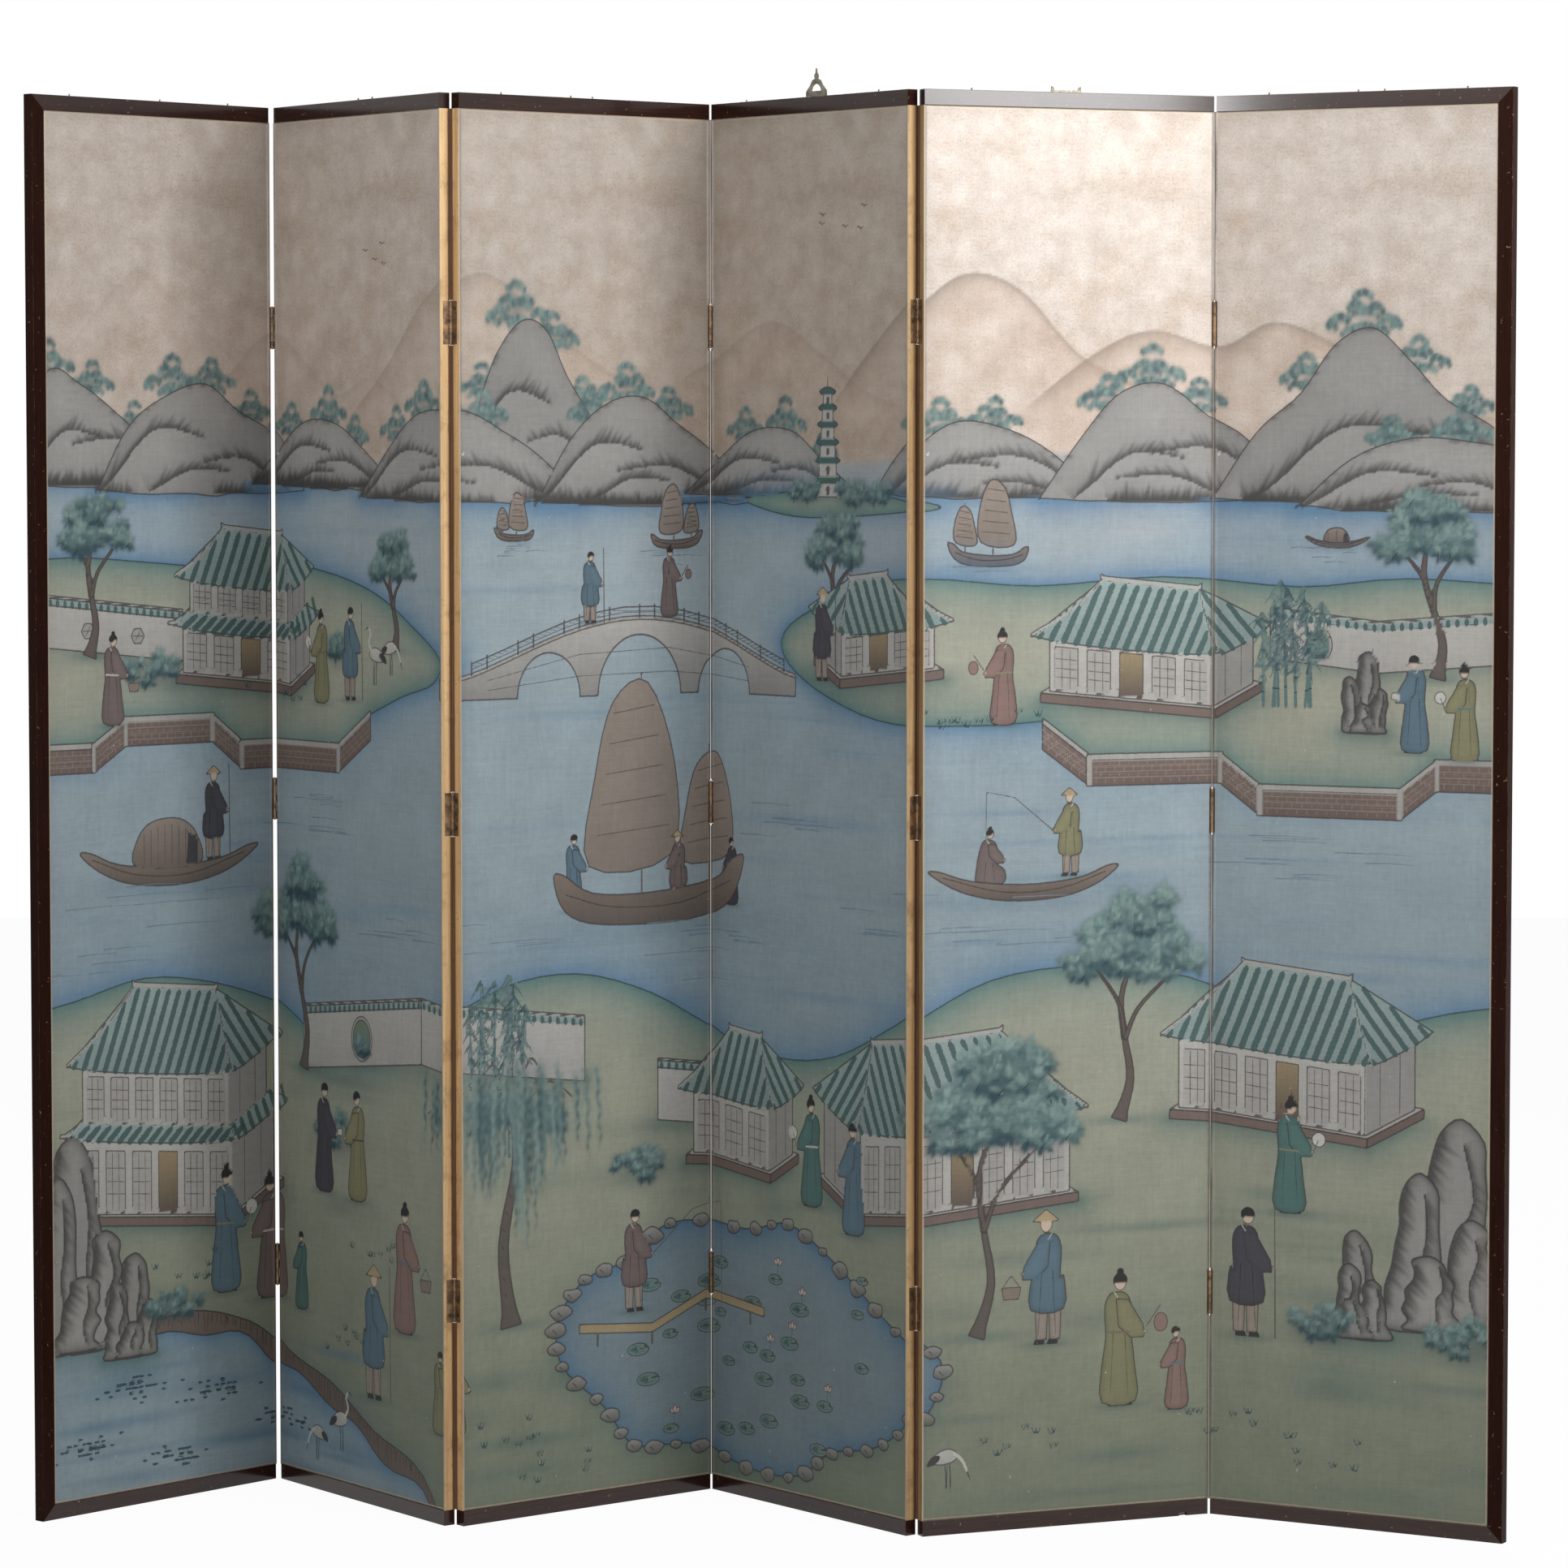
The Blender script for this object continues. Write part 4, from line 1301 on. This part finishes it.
    # for the bake: the upper half of the panel lies beside the lower half, so the map is nearly square
    firstLoop = np.zeros(len(mesh.polygons), np.int32)
    mesh.polygons.foreach_get("loop_start", firstLoop)
    loops = np.diff(np.append(firstLoop, len(mesh.loops)))
    face = np.repeat(np.arange(len(mesh.polygons)), loops)
    mid = np.bincount(face, place[:, 1]) / loops
    front = face < len(quads)
    upper = (mid > panelHigh / 2000)[face] & front
    size = 0.97 / (panelHigh / 2000)
    bu = np.where(front, (place[:, 0] + upper * 0.44) * size, 0.02 + place[:, 0] * 0.01)
    bv = np.where(front, (place[:, 1] - upper * panelHigh / 2000) * size, 0.985 + place[:, 1] * 0.005)
    mesh.uv_layers.new(name="OFBake").data.foreach_set("uv",
        np.stack([bu, bv], -1).ravel().astype(np.float32))
    mesh.uv_layers.active = mesh.uv_layers["sheet"]
    mesh.shade_smooth()
    return piece


class Wire:
    # Materials. A wire is the output of a node; sums, products and so on of wires and numbers make the
    # math nodes that work them out
    def __init__(self, socket):
        self.socket = socket

    def __add__(self, other):
        return calc("ADD", self, other)

    def __radd__(self, other):
        return calc("ADD", other, self)

    def __sub__(self, other):
        return calc("SUBTRACT", self, other)

    def __rsub__(self, other):
        return calc("SUBTRACT", other, self)

    def __mul__(self, other):
        return calc("MULTIPLY", self, other)

    def __truediv__(self, other):
        return calc("DIVIDE", self, other)

    def __gt__(self, other):
        return calc("GREATER_THAN", self, other)

    def __abs__(self):
        return calc("ABSOLUTE", self)


def plug(node, inputs):  # gives the named inputs of a node a wire, a number or a colour each
    for key, value in inputs.items():
        socket = node.inputs[key]
        if isinstance(value, Wire):
            socket.id_data.links.new(value.socket, socket)
        else:
            socket.default_value = tuple(value) + (1.0,) if socket.type == "RGBA" else value


def make(tree, kind, inputs, out=0, **settings):
    # A new node: what its inputs take, and which of its outputs is wanted. The tree may be given as a
    # wire that lies in it
    tree = tree.socket.id_data if isinstance(tree, Wire) else tree
    node = tree.nodes.new("ShaderNode" + kind)
    for name, value in settings.items():
        setattr(node, name, value)
    plug(node, inputs)
    return [Wire(node.outputs[o]) for o in out] if isinstance(out, tuple) else Wire(node.outputs[out])


def calc(operation, *values):
    tree = next(value for value in values if isinstance(value, Wire))
    return make(tree, "Math", dict(enumerate(values)), operation=operation)


def mixed(amount, a, b, mode="MIX"):
    tree = a if isinstance(a, Wire) else amount
    return make(tree, "Mix", {0: amount, 6: a, 7: b}, 2, data_type="RGBA", blend_type=mode)


def spread(value, low, high, toLow=0.0, toHigh=1.0):  # a clamped change of range
    return make(value, "MapRange", dict(enumerate((value, low, high, toLow, toHigh))))


def speckle(place, scale, detail=3.0, rough=0.55):  # noise, 0 to 1; a scale may differ in x, y and z
    if isinstance(scale, tuple):
        place, scale = make(place, "Mapping", {0: place, "Scale": scale}), 1.0
    return make(place, "TexNoise", {"Vector": place, "Scale": scale, "Detail": detail, "Roughness": rough})


def split(value, kind="Color"):  # the three parts of a colour or a place
    return make(value, "Separate" + kind, {0: value}, (0, 1, 2))


def along(place, way):  # how far a place lies in a direction
    return make(place, "VectorMath", {0: place, 1: tuple(way)}, "Value", operation="DOT_PRODUCT")


def readPaint(tree, name):  # a colour attribute: its colour and its fourth number
    return make(tree, "Attribute", {}, ("Color", "Alpha"), attribute_name=name)


def startFinish(name):
    finish = bpy.data.materials.new(name)
    finish.use_nodes = True
    tree = finish.node_tree
    tree.nodes.clear()
    shader = tree.nodes.new("ShaderNodeBsdfPrincipled")
    tree.links.new(shader.outputs[0], tree.nodes.new("ShaderNodeOutputMaterial").inputs[0])
    place, normal = make(tree, "TexCoord", {}, ("Object", "Normal"))
    return finish, shader, place, normal


def endFinish(finish, shader, inputs, height, distance, strength=0.5):
    # What the shader takes, and bumps of a height that is worth a distance in metres
    bump = make(height, "Bump", {"Height": height, "Distance": distance, "Strength": strength})
    plug(shader, {**inputs, "Normal": bump})
    return finish


paperLook = {
    "edgeSoft": 0.7, "inkStrength": 0.82, "strokeStrength": 0.88, "leafMetal": 0.22, "leafRough": 0.44,
    "paintRough": 0.62, "gloss": 0.3, "leafDull": linear(177, 164, 153),
    "leafBright": linear(216, 208, 201), "tarnish": linear(166, 142, 118), "grit": linear(128, 112, 100),
    "soil": linear(96, 84, 70), "bareLine": linear(190, 174, 152), "grime": linear(84, 72, 60),
    "chip": linear(205, 200, 190)}


def paintedPaper():
    # The painting: washes, then each layer of shapes with its ink outline, then brush lines, over
    # silver leaf; then the weave of the ground, mottling, rubbed spots and a pale bare border
    finish, shader, _, _ = startFinish("painted_paper")
    place = make(finish.node_tree, "UVMap", {}, uv_map="sheet")
    paint = lambda name: readPaint(finish.node_tree, name)
    crisp = lambda value: spread(value, -paperLook["edgeSoft"] / 2, paperLook["edgeSoft"] / 2)
    colour, bare = paint("wash")
    rims, lastRim = paint("rims")
    rimOf = split(rims) + [lastRim]
    wander = (speckle(place, 160.0, 2.0) - 0.5) * 1.1
    dry = speckle(place, 420.0, 2.0)
    for k in range(layers):
        fill, depth = paint("fill%d" % k)
        depth = depth + wander
        cover = crisp(depth)
        colour, bare = mixed(cover, colour, fill), bare * (1.0 - cover)
        rim = crisp(rimOf[k] * (0.55 + dry) - abs(depth))
        shown = rim * (rimOf[k] > 0.05) * paperLook["inkStrength"]
        colour, bare = mixed(shown, colour, shade["ink"]), bare * (1.0 - shown)
    toEdge = []
    for k in range(lineLayers):
        phase, spare = paint("line%d" % k)
        toEdge.append(spare)
        level, rise, half = split(phase)
        gap = abs(calc("ARCTAN2", rise, level)) * (scrollLook["lineReach"] / math.pi) + wander * 0.6
        stroke = crisp(half * (0.5 + dry) - gap) * paperLook["strokeStrength"]
        colour, bare = mixed(stroke, colour, paint("hue%d" % k)[0]), bare * (1.0 - stroke)
    # cloth-backed paper: fine and coarse threads both ways, and broad mottling of the washes
    weave = speckle(place, (620.0, 40.0, 1.0), 2.0, 0.5) + speckle(place, (40.0, 620.0, 1.0), 2.0, 0.5)
    slubs = speckle(place, (190.0, 14.0, 1.0), 3.0, 0.6) + speckle(place, (11.0, 210.0, 1.0), 3.0, 0.6)
    mottle = speckle(place, 14.0, 6.0, 0.62)
    fine = speckle(place, 110.0, 4.0, 0.7)
    tone = spread(weave, 0.6, 1.4, 0.94, 1.06) + spread(mottle, 0.3, 0.7, -0.07, 0.07)
    tone = tone + (spread(fine, 0.3, 0.7, -0.06, 0.06) + spread(slubs, 0.6, 1.4, -0.07, 0.07))
    colour = mixed(1.0, colour, make(tone, "CombineColor", {0: tone, 1: tone, 2: tone}), "MULTIPLY")
    # silver leaf: warm and cool patches, and rubbed places where it is duller
    patch = spread(speckle(place, 22.0, 5.0, 0.65), 0.37, 0.63)
    colour = mixed(bare * 0.45, colour, mixed(patch, paperLook["leafDull"], paperLook["leafBright"]))
    grit = speckle(place, 330.0, 3.0, 0.75)
    tarnish = spread(speckle(place, 13.0, 6.0, 0.72) + grit * 0.25, 0.62, 0.82, 0.0, 0.42)
    colour = mixed(bare * tarnish, colour, paperLook["tarnish"])
    colour = mixed(bare * spread(grit, 0.5, 0.72, 0.0, 0.38), colour, paperLook["grit"])
    # a pale line of bare paper along the frame bars, soil beside it, and dark grime along the folds
    patchy = speckle(place, 9.0, 2.0)
    ragged, creased = (edge + wander * 1.6 for edge in toEdge)
    soil = spread(calc("MINIMUM", ragged, creased), 26.0, 3.0) * spread(mottle, 0.35, 0.65, 0.15, 0.5)
    colour = mixed(soil * 0.3, colour, paperLook["soil"])
    colour = mixed(spread(ragged, 3.2, 1.8, 0.0, 0.75), colour, paperLook["bareLine"])
    grime = spread(creased, 3.6, 0.8, 0.0, 0.85) * spread(patchy, 0.35, 0.6, 0.35, 1.0)
    colour = mixed(grime, colour, paperLook["grime"])
    # and specks where the paint has come away
    chipped = spread(speckle(place, 95.0, 2.0, 0.5), 0.735, 0.76) * spread(patchy, 0.5, 0.6)
    colour = mixed(chipped * 0.8, colour, paperLook["chip"])
    rough = spread(bare, 0.0, 1.0, paperLook["paintRough"], paperLook["leafRough"])
    return endFinish(finish, shader, {
        "Base Color": colour,
        "Metallic": bare * paperLook["leafMetal"] * spread(fine, 0.25, 0.75, 0.8, 1.0),
        "Roughness": rough + spread(fine, 0.3, 0.7, -0.05, 0.07),
        "Specular IOR Level": paperLook["gloss"]}, weave + fine * 0.8, 0.00012, 0.6)


woodLook = {
    "lacquer": linear(44, 24, 18), "worn": linear(96, 66, 50), "nick": linear(150, 120, 96),
    "gloss": 0.02, "coatRough": 0.13, "railCoat": 0.7, "stileCoat": 0.0, "gilt": linear(212, 180, 134),
    "giltDull": linear(172, 140, 98), "bole": linear(112, 66, 44), "giltMetal": 0.35,
    "giltTones": (1.0, 1.02, 1.25, 0.95, 0.66, 1.0), "latticeDark": linear(150, 116, 78),
    "latticePale": linear(196, 160, 116)}


def arrisWear(normal, side):
    # How much a point lies on a rounded edge: there the normal is square to none of the bar's faces.
    # side is the direction across the bar, level or up
    lean = abs(along(normal, side))
    return spread(lean, 0.12, 0.4) * spread(lean, 0.98, 0.8)


def lacquer(name, side, stretch, coat):
    finish, shader, place, normal = startFinish(name)
    dark = woodLook["lacquer"]
    grain = speckle(place, stretch, 4.0, 0.6)
    cloud = speckle(place, 16.0, 3.0)
    worn = arrisWear(normal, side) * spread(speckle(place, 70.0, 4.0, 0.7), 0.42, 0.62)
    nick = spread(speckle(place, 210.0, 2.0), 0.70, 0.74)
    colour = mixed(spread(grain, 0.3, 0.7), dark * 0.75, dark * (1.7 if coat > 0.5 else 1.25))
    colour = mixed(spread(cloud, 0.4, 0.7) * 0.35, colour, dark * 0.6)
    colour = mixed(worn * 0.8, colour, woodLook["worn"])
    colour = mixed(nick * 0.7, colour, woodLook["nick"])
    return endFinish(finish, shader, {
        "Base Color": colour, "Roughness": spread(cloud + worn * 0.5, 0.3, 0.9, 0.20, 0.42),
        "Specular IOR Level": woodLook["gloss"], "Coat Weight": coat,
        "Coat Roughness": woodLook["coatRough"]}, grain - nick, 0.0002)


def gilding(name, n, tone):
    # Gilding rubbed through to the bole on the arrises and in the groove beside the hinges
    finish, shader, place, normal = startFinish(name)
    gilt, dull, bole = woodLook["gilt"] * tone, woodLook["giltDull"] * tone, woodLook["bole"]
    start, end, back = atPanel(n, np.array([(0, 0, 0), (panelWide, 0, 0), (0, panelDeep, 0)], float))
    side, through = ((q - start) / np.linalg.norm(q - start) for q in (end, back))
    isRight = along(place, side) > np.dot((start + end) / 2, side)
    depth = (along(place, through) - np.dot(start, through)) / (panelDeep / 1000)
    groove = abs(isRight - depth)
    if n % 2 == 0:
        groove = 1.0 - groove
    streak = speckle(place, (160.0, 160.0, 5.0), 4.0, 0.6)
    blot = speckle(place, 26.0, 5.0, 0.68)
    worn = arrisWear(normal, side) * spread(blot, 0.38, 0.6)
    colour = mixed(spread(streak, 0.3, 0.7), dull, gilt)
    colour = mixed(spread(blot, 0.52, 0.72), colour, dull * 0.8)
    colour = mixed(worn * 0.75, colour, bole)
    colour = mixed(spread(groove + blot * 0.12, 0.78, 0.86, 0.0, 0.85), colour, bole * 0.8)
    colour = mixed(spread(speckle(place, 300.0, 2.0), 0.68, 0.73) * 0.6, colour, bole)
    return endFinish(finish, shader, {"Base Color": colour, "Metallic": woodLook["giltMetal"],
        "Roughness": spread(blot, 0.3, 0.7, 0.38, 0.6)}, streak + blot, 0.00025)


brassLook = {
    "hinge": (linear(148, 120, 92), linear(86, 68, 53)), "screw": (linear(140, 112, 76), linear(64, 50, 36)),
    "plate": (linear(150, 143, 128), linear(98, 92, 80)), "metal": (1.0, 0.5)}


def oldBrass(kind):
    finish, shader, place, _ = startFinish(kind + "_brass")
    blot = speckle(place, 90.0, 5.0, 0.65)
    fine = speckle(place, 600.0, 3.0)
    return endFinish(finish, shader, {
        "Base Color": mixed(spread(blot, 0.38, 0.62), *brassLook[kind]),
        "Metallic": spread(blot, 0.3, 0.7, *brassLook["metal"]),
        "Roughness": spread(fine, 0.3, 0.7, 0.34, 0.6)}, blot + fine, 0.0001)


backLook = {
    "dark": linear(112, 100, 84), "pale": linear(146, 132, 110), "fibre": linear(86, 76, 62),
    "joint": linear(84, 72, 58), "spot": linear(88, 68, 48), "sheetHigh": 0.43, "rough": 0.85}


def agedBack():
    # Sheets that overlap by a few millimetres: a dark, raised band at every joint, and brown spots
    finish, shader, place, _ = startFinish("back_paper")
    fibre = speckle(place, (500.0, 500.0, 90.0), 4.0, 0.6)
    stain = speckle(place, 5.0, 6.0, 0.62)
    colour = mixed(spread(stain, 0.35, 0.68), backLook["dark"], backLook["pale"])
    colour = mixed(spread(fibre, 0.45, 0.75) * 0.35, colour, backLook["fibre"])
    level = split(place, "XYZ")[2] + stain * 0.004
    joint = spread(calc("PINGPONG", level + 0.13, backLook["sheetHigh"] / 2), 0.0035, 0.0028)
    colour = mixed(joint * 0.35, colour, backLook["joint"])
    spots = spread(speckle(place, 70.0, 3.0), 0.66, 0.72) * spread(stain, 0.45, 0.6)
    colour = mixed(spots * 0.6, colour, backLook["spot"])
    return endFinish(finish, shader, {"Base Color": colour, "Roughness": backLook["rough"]},
        fibre + stain + joint, 0.0003)


def rawWood():
    finish, shader, place, _ = startFinish("lattice_wood")
    grain = speckle(place, (260.0, 260.0, 12.0), 5.0, 0.6)
    colour = mixed(spread(grain, 0.3, 0.7), woodLook["latticeDark"], woodLook["latticePale"])
    return endFinish(finish, shader, {"Base Color": colour, "Roughness": 0.7}, grain, 0.0003)


def dress(finish, *nodes):
    for node in nodes:
        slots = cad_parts[node].material_slots
        for slot in slots:
            slot.material = finish
        if not slots:
            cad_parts[node].data.materials.append(finish)


def addFace(piece, n, finish):
    piece.data.materials.append(finish)
    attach(piece, "panel_%d" % n)


paper, back, lattice = paintedPaper(), agedBack(), rawWood()
railLacquer = lacquer("rail_lacquer", (0, 0, 1), (14.0, 14.0, 400.0), woodLook["railCoat"])
hingeBrass, screwBrass = oldBrass("hinge"), oldBrass("screw")
for n in range(1, panelCount + 1):
    face = faceSheet(n)
    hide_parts("painting_%d" % n)
    addFace(face, n, paper)
    addFace(backHem(n), n, back)
    dress(lattice, "core_%d" % n)
    dress(back, "backing_%d" % n)
    dress(railLacquer, "top_rail_%d" % n, "bottom_rail_%d" % n)
    dress(gilding("gilt_edge_%d" % n, n, woodLook["giltTones"][n - 1]), "edges_%d" % n)
    dress(screwBrass, "fixings_%d" % n)
    if n < panelCount:
        dress(hingeBrass, "leaves_%d_right" % n)
    if n > 1:
        dress(hingeBrass, "leaves_%d_left" % n)
    if n % 2 == 0:
        dress(hingeBrass, "pins_%d" % n)
for n, stile in ((1, "left_stile"), (panelCount, "right_stile")):
    a = math.radians(faceLook["turns"][n - 1])
    across = (math.cos(a), math.sin(a), 0.0)
    dress(lacquer("stile_lacquer_%d" % n, across, (400.0, 400.0, 14.0), woodLook["stileCoat"]), stile)
dress(oldBrass("plate"), "hanger", "hanger_stub")
print("pieces made and finished")

# The room: a pale floor, soft lamps in front and behind, and a camera where the photograph was taken.
# A lamp has its place, what it shines at, its power, width and height; two small ones shine back from
# the top rails of panels 5 and 6
roomLook = {"world": 0.08, "floor": (0.86, 0.86, 0.86), "floorRough": 0.6, "floorGlow": 0.96, "lamps": {
    "key_lamp": ((1.5, -3.0, 2.7), (0.4, 0, 1.0), 19.6, 1.4, 1.4),
    "left_lamp": ((-2.6, -2.25, 2.75), (0, 0, 1.2), 20.8, 1.3, 1.3),
    "right_lamp": ((1.7, -1.6, 2.6), (0.7, 0, 1.5), 30.3, 1.0, 1.0),
    "glare_lamp": ((1.95, -1.6, 2.12), (0.5, 0, 1.4), 18.0, 0.5, 0.6),
    "glint_lamp": ((-1.34, -1.32, 1.94), (0.6, 0, 1.6), 6.0, 0.2, 0.3),
    "back_lamp": ((0.4, 3.6, 2.6), (0, 0, 1.0), 75.0, 2.2, 2.2)}}


def addObject(name, data):
    item = bpy.data.objects.new(name, data)
    bpy.context.scene.collection.objects.link(item)
    return item


for name, (spot, aim, power, wide, tall) in roomLook["lamps"].items():
    data = bpy.data.lights.new(name, "AREA")
    data.shape, data.size, data.size_y, data.energy = "RECTANGLE", wide, tall, power
    item = addObject(name, data)
    item.location = spot
    way = np.array(aim) - np.array(spot)
    item.rotation_euler = (math.atan2(math.hypot(way[0], way[1]), -way[2]), 0,
        math.atan2(-way[0], way[1]))


def seenWhite(tree):  # 1 for rays that show the background: straight, mirrored or let through
    names = ("Is Camera Ray", "Is Transmission Ray", "Is Glossy Ray")
    straight, through, mirrored = make(tree, "LightPath", {}, names)
    return calc("MAXIMUM", calc("MAXIMUM", straight, through), mirrored)


world = bpy.data.worlds.new("room")
bpy.context.scene.world = world
world.use_nodes = True
air = world.node_tree.nodes["Background"]
plug(air, {0: (1, 1, 1), 1: spread(seenWhite(world.node_tree), 0.0, 1.0, roomLook["world"], 1.0)})

floorMesh = bpy.data.meshes.new("floor")
floorMesh.from_pydata([(-9, -9, 0), (9, -9, 0), (9, 9, 0), (-9, 9, 0)], [], [(0, 1, 2, 3)])
floor = addObject("floor", floorMesh)
floorFinish, floorShader, _, _ = startFinish("pale_floor")
floorTree = floorFinish.node_tree
plug(floorShader, {"Base Color": roomLook["floor"], "Roughness": roomLook["floorRough"]})
both = make(floorTree, "MixShader", {
    0: seenWhite(floorTree) * roomLook["floorGlow"], 1: Wire(floorShader.outputs[0]),
    2: make(floorTree, "Emission", {})})
plug([node for node in floorTree.nodes if node.type == "OUTPUT_MATERIAL"][0], {0: both})
floorMesh.materials.append(floorFinish)

# the photograph is 1932 pixels wide, and the camera's focal length is 6821.5 of them
cameraData = bpy.data.cameras.new("camera")
cameraData.sensor_width, cameraData.lens = 36.0, 6821.5 / 1932 * 36.0
camera = addObject("camera", cameraData)
camera.location = (0.0602, -7.1422, 1.3873)
camera.rotation_euler = (math.radians(90 - 3.528), 0, math.radians(0.28))
bpy.context.scene.camera = camera
bpy.context.scene.view_settings.view_transform = "Standard"
